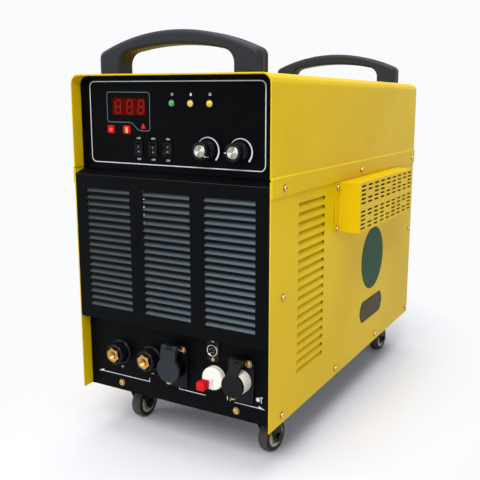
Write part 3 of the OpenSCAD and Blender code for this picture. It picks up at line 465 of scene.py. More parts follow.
@finish_once
def warning_window(name, x, z, core, rim, half_w, half_h, strength):
    """Red warning window, brightest about a spot inside it."""
    f = Finish(name)
    squashed = f.node("ShaderNodeVectorMath", {"operation": "MULTIPLY"},
                      {0: f.centred(x, z), 1: (1 / (half_w * MM), 0.0, 1 / (half_h * MM))})
    glow = f.mix(f.length(squashed).spread(0.25, 1.0), linear(*core), linear(*rim))
    haze = f.noise(500, 2)
    f.set(base_color=glow, emission_color=glow, emission_strength=strength)
    f.set(roughness=0.22 + haze * 0.1, specular_ior_level=0.15)
    return f.bump(haze, 0.02)


@finish_once
def ink(name, shade):
    """Screen-printed ink, a little uneven."""
    f = Finish(name)
    patch = f.noise(160, 3)
    base = tint(shade)
    f.set(base_color=f.mix(patch.spread(0.4, 0.75), base, scaled(base, 0.86)))
    f.set(roughness=0.5 + (patch - 0.5) * 0.15, specular_ior_level=0.1)
    return f.bump(f.noise(1800, 1), 0.006)


@finish_once
def rubber():
    """Matt black rubber with a greyish bloom."""
    f = Finish("rubber")
    bloom_and_sheen = f.noise(80, 3)
    black, grey = linear(0.07, 0.07, 0.07), linear(0.12, 0.12, 0.12)
    f.set(base_color=f.mix(bloom_and_sheen.spread(0.4, 0.8), black, grey))
    f.set(roughness=0.75 + (bloom_and_sheen - 0.5) * 0.2)
    return f.bump(f.noise(900, 2), 0.03)


@finish_once
def laminations():
    """Stack of varnished sheet steel in the transformer's core."""
    f = Finish("laminations")
    layers = f.noise(900, 1, 0.5, f.stretched(1, 12, 1))
    dark, light = linear(0.32, 0.24, 0.17), linear(0.46, 0.34, 0.22)
    f.set(metallic=0.6, base_color=f.mix(layers, dark, light))
    f.set(roughness=0.45 + layers * 0.2)
    return f.bump(layers, 0.05)


# ---------- modelling ----------

def shift(x, y, z):
    return Matrix.Translation((x, y, z))


def spin(angle, axis):
    """Turn about an axis, in degrees."""
    return Matrix.Rotation(math.radians(angle), 4, axis)


def start():
    """Leaves nothing selected, so that the next operator acts on its own piece alone."""
    if bpy.context.object and bpy.context.object.mode != "OBJECT":
        bpy.ops.object.mode_set(mode="OBJECT")
    bpy.ops.object.select_all(action="DESELECT")


def alone(piece):
    """Selects a piece alone and makes it active."""
    start()
    piece.select_set(True)
    bpy.context.view_layer.objects.active = piece


def edit(piece):
    alone(piece)
    bpy.ops.object.mode_set(mode="EDIT")


@contextmanager
def all_selected(piece):
    """Edit mode, with the whole piece selected."""
    edit(piece)
    bpy.ops.mesh.select_all(action="SELECT")
    yield
    bpy.ops.object.mode_set(mode="OBJECT")


def close_up(piece):
    """Merges doubles and turns every face outwards."""
    with all_selected(piece):
        bpy.ops.mesh.remove_doubles(threshold=MERGE)
        bpy.ops.mesh.normals_make_consistent(inside=False)


def pick(piece, kind, test):
    """Selects the edges or points of a piece that pass a test, in edit mode, and counts them."""
    edit(piece)
    bpy.ops.mesh.select_mode(type=kind)
    bpy.ops.mesh.select_all(action="DESELECT")
    mesh = bmesh.from_edit_mesh(piece.data)
    found = [part for part in (mesh.edges if kind == "EDGE" else mesh.verts) if test(part)]
    for part in found:
        part.select_set(True)
    mesh.select_flush_mode()
    bmesh.update_edit_mesh(piece.data)
    return len(found)


def near_middle(vert, sector, slack):
    """Whether a point lies near the middle of its sector round Z, both in degrees."""
    angle = math.degrees(math.atan2(vert.co.y, vert.co.x)) % sector
    return abs(angle - sector / 2) < slack


def shrink_points(piece, test, factor):
    """Draws the points that pass a test in towards the Z axis."""
    if pick(piece, "VERT", test):
        bpy.ops.transform.resize(value=(factor, factor, 1), center_override=(0, 0, 0))
    bpy.ops.object.mode_set(mode="OBJECT")


def middle(edge):
    return (edge.verts[0].co + edge.verts[1].co) / 2


def is_sharp(edge, angle=35):
    return len(edge.link_faces) == 2 and edge.calc_face_angle(0) > math.radians(angle)


def round_edges(piece, width, count, test=lambda edge: True):
    """Bevels the sharp edges that pass a test, with a number of segments."""
    if pick(piece, "EDGE", lambda edge: is_sharp(edge) and test(edge)):
        bpy.ops.mesh.bevel(offset=width, segments=count, affect="EDGES", clamp_overlap=False)
    bpy.ops.object.mode_set(mode="OBJECT")


def turned(profile, steps=48):
    """Solid of revolution about Z. A ring is extruded and resized along the profile's points,
    which are (radius, height); a profile that ends where it began makes a closed ring."""
    start()
    radius, height = profile[0]
    bpy.ops.mesh.primitive_circle_add(vertices=steps, radius=radius)
    piece = bpy.context.object
    piece.data.transform(shift(0, 0, height))
    with all_selected(piece):
        if profile[0] != profile[-1]:
            bpy.ops.mesh.edge_face_add()
        for new_radius, new_height in profile[1:]:
            rise = {"value": (0, 0, new_height - height)}
            bpy.ops.mesh.extrude_region_move(TRANSFORM_OT_translate=rise)
            factor = new_radius / radius
            bpy.ops.transform.resize(value=(factor, factor, 1),
                                     center_override=(0, 0, new_height))
            radius, height = new_radius, new_height
    close_up(piece)
    return piece


def both_sides(profile):
    """Closed profile from its upper half, which runs from the bore to the rim."""
    return [(r, -h) for r, h in profile] + profile[::-1] + [(profile[0][0], -profile[0][1])]


def arc(centre, radius, first, last, count=8):
    """Points along an arc, from one angle to the other, in degrees."""
    angles = [math.radians(first + (last - first) * i / count) for i in range(count + 1)]
    return [(centre[0] + radius * math.cos(a), centre[1] + radius * math.sin(a)) for a in angles]


def arch(half, crown, side, corner):
    """Outline from a right foot over a bowed crown to the left foot, with rounded shoulders:
    side is the height at which the bow would meet the feet."""
    radius = (half ** 2 + (crown - side) ** 2) / (2 * (crown - side))
    base = crown - radius
    x = half - corner
    z = base + math.sqrt((radius - corner) ** 2 - x ** 2)
    turn = math.degrees(math.atan2(z - base, x))
    right = arc((x, z), corner, 0, turn, 6)
    bow = arc((0, base), radius, turn, 180 - turn, 28)
    left = [(-px, pz) for px, pz in reversed(right)]
    return [(half, 0)] + right + bow[1:-1] + left + [(-half, 0)]


def rounded(low, high, radius, count=5):
    """Outline of a rectangle with round corners."""
    (x0, z0), (x1, z1) = low, high
    corners = ((x1 - radius, z1 - radius, 0), (x0 + radius, z1 - radius, 90),
               (x0 + radius, z0 + radius, 180), (x1 - radius, z0 + radius, 270))
    return [p for x, z, a in corners for p in arc((x, z), radius, a, a + 90, count)]


def rounded_polygon(points, radius, count=4):
    """Outline of a polygon whose corners are rounded, each by as much as its sides allow."""
    outline = []
    for i, corner in enumerate(points):
        here = Vector(corner)
        before = Vector(points[i - 1]) - here
        after = Vector(points[(i + 1) % len(points)]) - here
        reach = min(radius, before.length * 0.45, after.length * 0.45)
        a = here + before.normalized() * reach
        b = here + after.normalized() * reach
        for k in range(count + 1):
            t = k / count
            outline.append(tuple(a * (1 - t) ** 2 + here * 2 * t * (1 - t) + b * t ** 2))
    return outline


def widened(outline, by):
    """Closed outline moved sideways by a distance, to the left of its way."""
    moved = []
    for i, point in enumerate(outline):
        here = Vector(point)
        before = (here - Vector(outline[i - 1])).normalized()
        after = (Vector(outline[(i + 1) % len(outline)]) - here).normalized()
        along = (before + after).normalized()
        moved.append((here.x - along.y * by, here.y + along.x * by))
    return moved


def plate(outlines, thickness, edge=0.0):
    """Flat plate on the XY plane from outlines, the inner ones being holes, with round edges."""
    start()
    curve = bpy.data.curves.new("outline", "CURVE")
    curve.dimensions = "2D"
    curve.fill_mode = "BOTH"
    curve.extrude = thickness / 2 - edge
    curve.bevel_depth = edge
    curve.bevel_resolution = 1
    curve.offset = -edge
    for outline in outlines:
        spline = curve.splines.new("POLY")
        spline.points.add(len(outline) - 1)
        for point, (x, y) in zip(spline.points, outline):
            point.co = (x, y, 0, 1)
        spline.use_cyclic_u = True
    piece = bpy.data.objects.new("outline", curve)
    bpy.context.collection.objects.link(piece)
    alone(piece)
    bpy.ops.object.convert(target="MESH")
    piece = bpy.context.object
    piece.data.transform(shift(0, 0, thickness / 2))
    close_up(piece)
    return piece


def block(low, high):
    """Box between two corners."""
    start()
    bpy.ops.mesh.primitive_cube_add(size=1)
    piece = bpy.context.object
    size = Vector(high) - Vector(low)
    centre = (Vector(high) + Vector(low)) / 2
    piece.data.transform(Matrix.Translation(centre) @ Matrix.Diagonal((*size, 1)))
    return piece


def apply_modifier(piece, kind, **settings):
    alone(piece)
    modifier = piece.modifiers.new(kind.lower(), kind)
    for key, value in settings.items():
        setattr(modifier, key, value)
    bpy.ops.object.modifier_apply(modifier=modifier.name)


def cut(piece, tool, operation="DIFFERENCE"):
    """Cuts one piece's volume out of another, or keeps only what they share, and drops it."""
    apply_modifier(piece, "BOOLEAN", operation=operation, object=tool, solver="EXACT")
    bpy.data.objects.remove(tool)


def joined(pieces):
    """Several pieces made into one object, each with its own faces."""
    start()
    for piece in pieces:
        piece.select_set(True)
    bpy.context.view_layer.objects.active = pieces[0]
    bpy.ops.object.join()
    return bpy.context.object


def copies(piece, places):
    """One object that holds a copy of a piece at each place; the piece itself is used up."""
    made = []
    for place in places:
        twin = piece.copy()
        twin.data = piece.data.copy()
        bpy.context.collection.objects.link(twin)
        twin.data.transform(place)
        made.append(twin)
    bpy.data.objects.remove(piece)
    return joined(made)


def settle(piece, name, material, place=Matrix(), body="case", stands_for=(), smooth=32):
    """Puts a finished piece into the frame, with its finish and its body."""
    piece.name = name
    piece.data.name = name
    piece.data.transform(Matrix.Scale(MM, 4) @ place)
    piece.data.materials.clear()
    piece.data.materials.append(material)
    alone(piece)
    if smooth:
        bpy.ops.object.shade_smooth_by_angle(angle=math.radians(smooth))
        apply_modifier(piece, "WEIGHTED_NORMAL", mode="FACE_AREA", weight=50, keep_sharp=True)
    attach(piece, body)
    if stands_for:
        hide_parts(*stands_for)


def body_of(node):
    return frame["nodes"][node]["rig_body"]


def stand_in(piece, name, node, material, place=Matrix(), smooth=32):
    """Puts a finished piece into the frame in the stead of a CAD node."""
    settle(piece, name, material, place, body_of(node), (node,), smooth)


def copy_of(node, flatten=True):
    """Copy of a CAD node in millimetres, with its doubles merged and, unless the node is
    perforated, its flat faces joined."""
    start()
    mesh = frame["nodes"][node].data.copy()
    mesh.materials.clear()
    mesh.transform(Matrix.Scale(1 / MM, 4))
    piece = bpy.data.objects.new(node + "_copy", mesh)
    bpy.context.collection.objects.link(piece)
    same_plane = math.radians(0.4)
    with all_selected(piece):
        bpy.ops.mesh.remove_doubles(threshold=CAD_MERGE)
        if flatten:
            bpy.ops.mesh.dissolve_limited(angle_limit=same_plane)
        else:
            bpy.ops.mesh.beautify_fill(angle_limit=same_plane)
    return piece


def soften(node, name, material, width, count=2, limit=38, flatten=True, least=2.0):
    """Stands a copy of a CAD node in the node's place, its edges longer than least rounded."""
    piece = copy_of(node, flatten)
    if pick(piece, "EDGE", lambda e: is_sharp(e, limit) and e.calc_length() > least):
        bpy.ops.mesh.bevel(offset=width, segments=count, affect="EDGES", clamp_overlap=False,
                           miter_outer="ARC", face_strength_mode="AFFECTED")
    bpy.ops.object.mode_set(mode="OBJECT")
    alone(piece)
    bpy.ops.object.shade_smooth_by_angle(angle=math.radians(50))
    apply_modifier(piece, "WEIGHTED_NORMAL", mode="FACE_AREA", weight=100, keep_sharp=True,
                   use_face_influence=True)
    stand_in(piece, name, node, material, smooth=0)


def box_mm(node):
    low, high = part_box(node)
    return low / MM, high / MM


def face_centre(box):
    """Middle of a box as it is seen from the front: its x and z."""
    low, high = box
    return (low.x + high.x) / 2, (low.z + high.z) / 2


def islands(node):
    """Boxes, in millimetres, of the separate solids in a CAD node, from left to right."""
    mesh = bmesh.new()
    mesh.from_mesh(frame["nodes"][node].data)
    bmesh.ops.remove_doubles(mesh, verts=mesh.verts, dist=1e-6)
    seen, found = set(), []
    for vert in mesh.verts:
        if vert in seen:
            continue
        group, todo = [], [vert]
        seen.add(vert)
        while todo:
            here = todo.pop()
            group.append(here.co / MM)
            for edge in here.link_edges:
                other = edge.other_vert(here)
                if other not in seen:
                    seen.add(other)
                    todo.append(other)
        low = Vector([min(p[i] for p in group) for i in range(3)])
        high = Vector([max(p[i] for p in group) for i in range(3)])
        found.append((low, high))
    mesh.free()
    return sorted(found, key=lambda box: box[0].x)


def out_front(x, z, y):
    """Place of a piece whose own +Z points out of the front panel."""
    return shift(x, y, z) @ spin(90, "X")


def joint(name):
    """Pivot of a joint, in millimetres, and its axis."""
    row = next(j for j in frame["joints"] if j["name"] == name)
    return Vector(row["pos_m"]) / MM, Vector(row["axis"])


def upright(axis):
    """Turn that takes Z onto an axis."""
    return Vector((0, 0, 1)).rotation_difference(axis).to_matrix().to_4x4()


def on_panel(x=0.0, z=0.0, lift=0.0):
    """Place of a piece on the front panels, its own +Z out of them, lifted off by some mm."""
    return out_front(x, z, PANEL_Y - lift)


# Planes of the casing, in millimetres, from the frame.
PANEL_Y = box_mm("control_panel")[0].y
BASE_Z = box_mm("lower_panel")[0].z
SIDE_FRONT = box_mm("side_panel_right")[0].y
SIDE_X = box_mm("side_panel_right")[1].x
PRINT_LIFT = 0.02


# ---------- operators ----------

class CutterOperator(bpy.types.Operator):
    """Common ground of the operators below: each builds and then reports success."""
    bl_options = {"REGISTER", "UNDO"}

    def execute(self, context):
        self.build()
        return {"FINISHED"}


class CUTTER_OT_casing(CutterOperator):
    """Sheet-metal casing with rounded edges and its powder coats"""
    bl_idname = "cutter.casing"
    bl_label = "Casing"

    def build(self):
        edge = sizes().sheet_edge
        for node in ("top_cover", "side_panel_right", "side_panel_left", "vent_box"):
            soften(node, node + "_sheet", yellow_coat(), edge, flatten=node == "top_cover", least=3)
        for node in ("louvre_panel", "lower_panel", "rear_panel"):
            soften(node, node + "_sheet", black_coat(), edge, flatten=False, least=3)
        soften("control_panel", "control_panel_sheet", control_film(), edge)


class CUTTER_OT_handles(CutterOperator):
    """Two moulded carrying handles with fillets, parting grooves, and black patches as painted
    shade in the bolt slots
    """
    bl_idname = "cutter.handles"
    bl_label = "Handles"

    bow = 31             # how far the crown stands above the shoulders, in mm
    corner = 12          # radius of a shoulder
    grip_bow, grip_corner = 12, 20
    groove_deep, groove_w, groove_shares = 1.3, 1.8, (0.3, 0.7)
    slot_x = 105         # distance of a bolt's slot from the middle

    def build(self):
        for node in ("front_handle", "rear_handle"):
            self.handle(node)

    def handle(self, node):
        low, high = box_mm(node)
        half, rise, depth = (high.x - low.x) / 2, high.z - low.z, high.y - low.y
        outside = arch(half, rise, rise - self.bow, self.corner)
        grip_h = sizes().grip_h
        inside = arch(sizes().grip_w / 2, grip_h, grip_h - self.grip_bow, self.grip_corner)
        piece = plate([outside + inside[::-1]], depth)
        seat = shift((low.x + high.x) / 2, high.y, low.z) @ spin(90, "X")
        piece.data.transform(seat)
        with all_selected(piece):
            bpy.ops.mesh.dissolve_limited(angle_limit=math.radians(0.2))

        def is_outer(edge):
            """Whether an edge lies beyond an oval between the grip and the handle's outside."""
            spot = middle(edge)
            return (spot.x / (half - 20)) ** 2 + ((spot.z - low.z) / (rise - 10.5)) ** 2 > 1

        def on_face(edge):
            spot = middle(edge)
            at_end = min(abs(spot.y - low.y), abs(spot.y - high.y)) < TINY
            return at_end and spot.z > low.z + TINY
        round_edges(piece, sizes().handle_outer, 5, lambda e: on_face(e) and is_outer(e))
        round_edges(piece, sizes().handle_inner, 4, lambda e: on_face(e) and not is_outer(e))
        for share in self.groove_shares:
            band = self.groove_band(half, rise)
            band.data.transform(shift(0, self.groove_w / 2 - depth * share, 0) @ seat)
            cut(piece, band)
        stand_in(piece, node + "_moulding", node, handle_grain(), smooth=34)
        self.slot_shade_patches(node, low, high)

    def groove_band(self, half, rise):
        """Hoop over the handle's outside that cuts a parting groove."""
        deep, out, foot = self.groove_deep, 4, -4
        side = rise - self.bow
        bottom = arch(half - deep, rise - deep, side - deep, self.corner - deep)
        over = arch(half + out, rise + out, side + out, self.corner + out)
        outline = [(half - deep, foot)] + bottom + [(deep - half, foot), (-half - out, foot)] \
            + over[::-1] + [(half + out, foot)]
        return plate([outline], self.groove_w)

    def slot_shade_patches(self, node, low, high):
        """Black patch over the bolt in each shoulder, partly sunk into the crown: painted shade of
        the bolt's slot.
        """
        half = (high.x - low.x) / 2
        radius = (half ** 2 + self.bow ** 2) / (2 * self.bow)
        centre = shift((low.x + high.x) / 2, (low.y + high.y) / 2, high.z - radius)
        for side, label in ((-1, "_slot_shade_left"), (1, "_slot_shade_right")):
            lean = spin(math.degrees(side * math.asin(self.slot_x / radius)), "Y")
            piece = plate([rounded((-7, -2.6), (7, 2.6), 1.2)], 0.9, 0.2)
            # Painted shade: a flat black patch stands for the shaded hollow of the slot.
            black = moulded("slot_black", (0.02, 0.02, 0.02), 0.6)
            settle(piece, node + label, black,
                   centre @ lean @ shift(0, 0, radius - 0.6))


class CUTTER_OT_screws(CutterOperator):
    """Pan-head screws with washers and cross recesses, wherever the frame has a screw"""
    bl_idname = "cutter.screws"
    bl_label = "Screws"
    head_share = 0.56    # height of a head and its washer, as a share of their radius

    def build(self):
        by_head = {}
        for low, high in islands("case_screws"):
            place, head_d = self.place_of(low, high)
            by_head.setdefault(round(head_d, 1), []).append(place)
        kinds = sorted(by_head.items())
        screws = joined([copies(self.screw(d / 2), places) for d, places in kinds])
        stand_in(screws, "screws", "case_screws",
                 plated("passivated_screws", "screw_brass", 0.24), smooth=35)
        washers = joined([copies(self.washer(d / 2), places) for d, places in kinds])
        settle(washers, "washers", plated("passivated_washers", "washer_brass", 0.38),
               smooth=35)

    def place_of(self, low, high):
        """Where a screw seats, its own +Z out of the panel, and the diameter of its head."""
        size = high - low
        centre = (low + high) / 2
        turn = spin((centre.x * 7.3 + centre.y * 3.1 + centre.z * 5.7) % 90, "Z")
        axis = 0 if abs(size.y - size.z) < abs(size.x - size.z) else 1
        out = 1 if centre[axis] > 0 else -1
        top = centre.copy()
        top[axis] = (high if out > 0 else low)[axis]
        lean = spin(90 * (out, -out)[axis], "YX"[axis])
        return Matrix.Translation(top) @ lean @ turn, max(size.z, size[1 - axis])

    def screw(self, r):
        """One screw whose head's top lies at the origin: domed head with a cross recess."""
        h = self.head_share * r
        profile = [(r * 0.30, -h - 3), (r * 0.30, -h), (r * 0.74, -h), (r * 0.76, -0.45 * h),
                   (r * 0.71, -0.22 * h), (r * 0.56, -0.07 * h), (r * 0.34, 0)]
        piece = turned(profile, 28)
        arm, half = r * 0.46, r * 0.1
        for tool in (block((-arm, -half, -h * 0.6), (arm, half, 1)),
                     block((-half, -arm, -h * 0.6), (half, arm, 1))):
            cut(piece, tool)
        return piece

    def washer(self, r):
        """Dished washer under a screw's head."""
        h = self.head_share * r
        return turned([(r * 0.32, -h), (r * 0.93, -h), (r, -0.9 * h), (r, -0.82 * h),
                       (r * 0.96, -0.76 * h), (r * 0.78, -0.7 * h), (r * 0.32, -0.7 * h)], 28)


class CUTTER_OT_controls(CutterOperator):
    """Display, lamps, rocker switches and knobs of the control panel"""
    bl_idname = "cutter.controls"
    bl_label = "Controls"

    def build(self):
        self.display()
        self.lamps()
        self.warnings()
        self.rockers()
        for node in ("current_knob", "pressure_knob"):
            self.knob(node)

    def display(self):
        lip, window_t = 4.0, 1.6
        low, high = box_mm("display_window")
        outline = rounded((low.x + lip, low.z + lip), (high.x - lip, high.z - lip), 0.8)
        stand_in(plate([outline], window_t, 0.25), "display_filter", "display_window",
                 red_window(), on_panel(lift=-window_t))
        back_low, back_high = box_mm("display_module")
        outline = rounded((back_low.x, back_low.z), (back_high.x, back_high.z), 1)
        stand_in(plate([outline], 10.5, 0.4), "display_body", "display_module",
                 moulded("display_black", (0.05, 0.02, 0.02), 0.6), out_front(0, 0, back_high.y))
        x, z = face_centre((low, high))
        digits = [self.digit(x + dx, z - 0.4) for dx in (-21.7, 0.4, 22.0)]
        settle(joined(digits), "display_digits", segments(), on_panel(lift=-2.35))

    def digit(self, x, z):
        """Seven bars of one digit, leaning a little to the right."""
        half_w, half_h, t, gap, lean = 5.0, 9.5, 1.15, 0.45, 0.06

        def bar(a, b):
            """Pointed bar from a to b along an axis: its points there and beside it."""
            return [(a + gap, 0), (a + gap + t, -t), (b - gap - t, -t), (b - gap, 0),
                    (b - gap - t, t), (a + gap + t, t)]
        bars = [[(px, up + side) for px, side in bar(-half_w, half_w)]
                for up in (-half_h, 0, half_h)]
        bars += [[(px - side, up) for up, side in bar(*ends)]
                 for px in (-half_w, half_w) for ends in ((-half_h, 0), (0, half_h))]
        return plate([[(x + px + lean * up, z + up) for px, up in points] for points in bars], 0.25)

    def lamps(self):
        """Domed status lamps, each in a turned bezel with a round nut behind the panel."""
        shades = (("green", (0.03, 0.30, 0.17), (0.20, 0.70, 0.42)),
                  ("amber", (0.62, 0.52, 0.06), (0.93, 0.83, 0.30)),
                  ("yellow", (0.62, 0.52, 0.06), (0.93, 0.83, 0.30)))
        r = 5.8              # outer radius of a bezel
        bezels = []
        for box, (name, shade, glow) in zip(islands("status_lamps"), shades):
            place = on_panel(*face_centre(box))
            lens = turned([(r - 0.7, 0), (r - 0.7, 1.6), (r - 1.0, 2.6), (r - 1.7, 3.5),
                           (r - 2.9, 4.1), (r - 4.4, 4.4), (0.3, 4.45)], 32)
            settle(lens, "lamp_lens_" + name, lamp_lens("lamp_" + name, shade, glow),
                   place)
            bezel = turned([(r - 0.6, 0), (r, 0), (r, 1.5), (r - 0.3, 1.9), (r - 0.6, 1.9),
                            (r - 0.6, 0)], 32)
            stem = turned([(4, -14), (4, -5), (6.4, -5), (6.4, -2), (4, -2), (4, 0.3)], 24)
            for part in (bezel, stem):
                part.data.transform(place)
                bezels.append(part)
        stand_in(joined(bezels), "lamp_bezels", "status_lamps",
                 moulded("lamp_bezel", (0.07, 0.07, 0.07), 0.3))

    def warnings(self):
        """Two square windows and a triangular one."""
        looks = (("heat", (0.96, 0.32, 0.28), (0.60, 0.03, 0.03), 4.5, 4.2, 0.2),
                 ("flow", (1.0, 0.72, 0.35), (0.66, 0.04, 0.03), 3.0, 6.2, 0.35),
                 ("fault", (0.75, 0.12, 0.14), (0.55, 0.05, 0.06), 6.0, 6.0, 0.12))
        for box, (name, *look) in zip(islands("warning_lamps"), looks):
            low, high = box
            x, z = face_centre(box)
            if name == "fault":
                outline = rounded_polygon([(low.x, low.z), (high.x, low.z), (x, high.z)], 0.9)
            else:
                outline = rounded((low.x, low.z), (high.x, high.z), 0.7)
            material = warning_window("warning_" + name, x, z - 0.5, *look)
            settle(plate([outline], 0.8, 0.25), "warning_window_" + name, material,
                   on_panel(), stands_for=("warning_lamps",) if name == "heat" else ())

    def rockers(self):
        black = moulded("switch_black", "plastic", 0.28)
        soften("rocker_bezels", "rocker_frames", black, 0.45)
        for side in ("left", "middle", "right"):
            soften("rocker_" + side, "rocker_%s_cap" % side, black, 0.35, limit=30)
            self.rocker_mark(side)

    def rocker_mark(self, side):
        """I and O on a rocker's face: a bar on its upper half, a ring on its lower half."""
        pivot = joint("rocker_%s_tilt" % side)[0]
        tilt = 8.0 if side != "right" else -8.0
        turn = Matrix.Translation(pivot) @ spin(90 + tilt, "X")
        crown, dip, half_face, mark_t = 6.0, 1.0, 7.5, 0.06
        slope = math.degrees(math.atan2(dip, half_face))
        ring = plate([arc((0, 0), 1.5, 0, 345, 15), arc((0, 0), 1.05, 0, 345, 15)], mark_t)
        bar = plate([rounded((-0.3, -1.4), (0.3, 1.4), 0.2, 2)], mark_t)
        for mark, half in ((ring, -1), (bar, 1)):
            mark.data.transform(turn @ shift(0, 4.2 * half, crown - dip * 0.44)
                                @ spin(-slope * half, "X"))
        settle(joined([ring, bar]), "rocker_%s_marks" % side,
               ink("print_white_ink", "print_white"), body="rocker_" + side)

    def knob(self, node):
        """Fluted knob with a bright pointer, and its faced aluminium cap."""
        low, high = box_mm(node)
        x, z = face_centre((low, high))
        foot = (high.x - low.x) / 2
        long = high.y - low.y
        front = foot - 1.2
        cap_low, cap_high = box_mm(node + "_cap")
        cap_r, cap_t = (cap_high.x - cap_low.x) / 2, 1.4
        flutes = sizes().knob_flutes
        piece = turned([(3.2, 1.0), (foot - 3, 1.0), (foot - 3, 0.0), (foot - 0.5, 0.0),
                        (foot, 0.5), (foot, 2.4), (foot - 0.5, 3.0), (foot - 0.9, 3.4),
                        (front + 0.1, long - 1.2), (front - 0.25, long - 0.5),
                        (front - 0.9, long - 0.1), (front - 1.4, long), (cap_r + 0.45, long),
                        (cap_r + 0.1, long - 0.25), (cap_r + 0.1, long - 1.6),
                        (2.0, long - 1.6)], flutes * 4)

        def in_flute(vert):
            on_side = 3.3 < vert.co.z < long - 1.0 and vert.co.xy.length > front - 1
            return on_side and near_middle(vert, 360 / flutes, 1.2)
        shrink_points(piece, in_flute, 0.955)
        seat = out_front(x, z, high.y)
        stand_in(piece, node + "_grip", node,
                 moulded("knob_black", (0.045, 0.045, 0.05), 0.2, 0.005), seat, smooth=40)
        disc = turned([(cap_r - 0.2, 0), (cap_r, 0.2), (cap_r, 1.1), (cap_r - 0.35, cap_t),
                       (1.0, cap_t)], 64)
        stand_in(disc, node + "_disc", node + "_cap", spun_cap(x, z),
                 out_front(x, z, low.y + cap_t + 0.15))
        angle = -38 if node == "current_knob" else 183
        pointer = block((cap_r + 0.6, -0.55, long - 9), (front + 0.35, 0.55, long + 0.12))
        round_edges(pointer, 0.1, 1)
        settle(pointer, node + "_pointer", ink("pointer_white", "print_white"),
               seat @ spin(angle, "Z"), body_of(node))


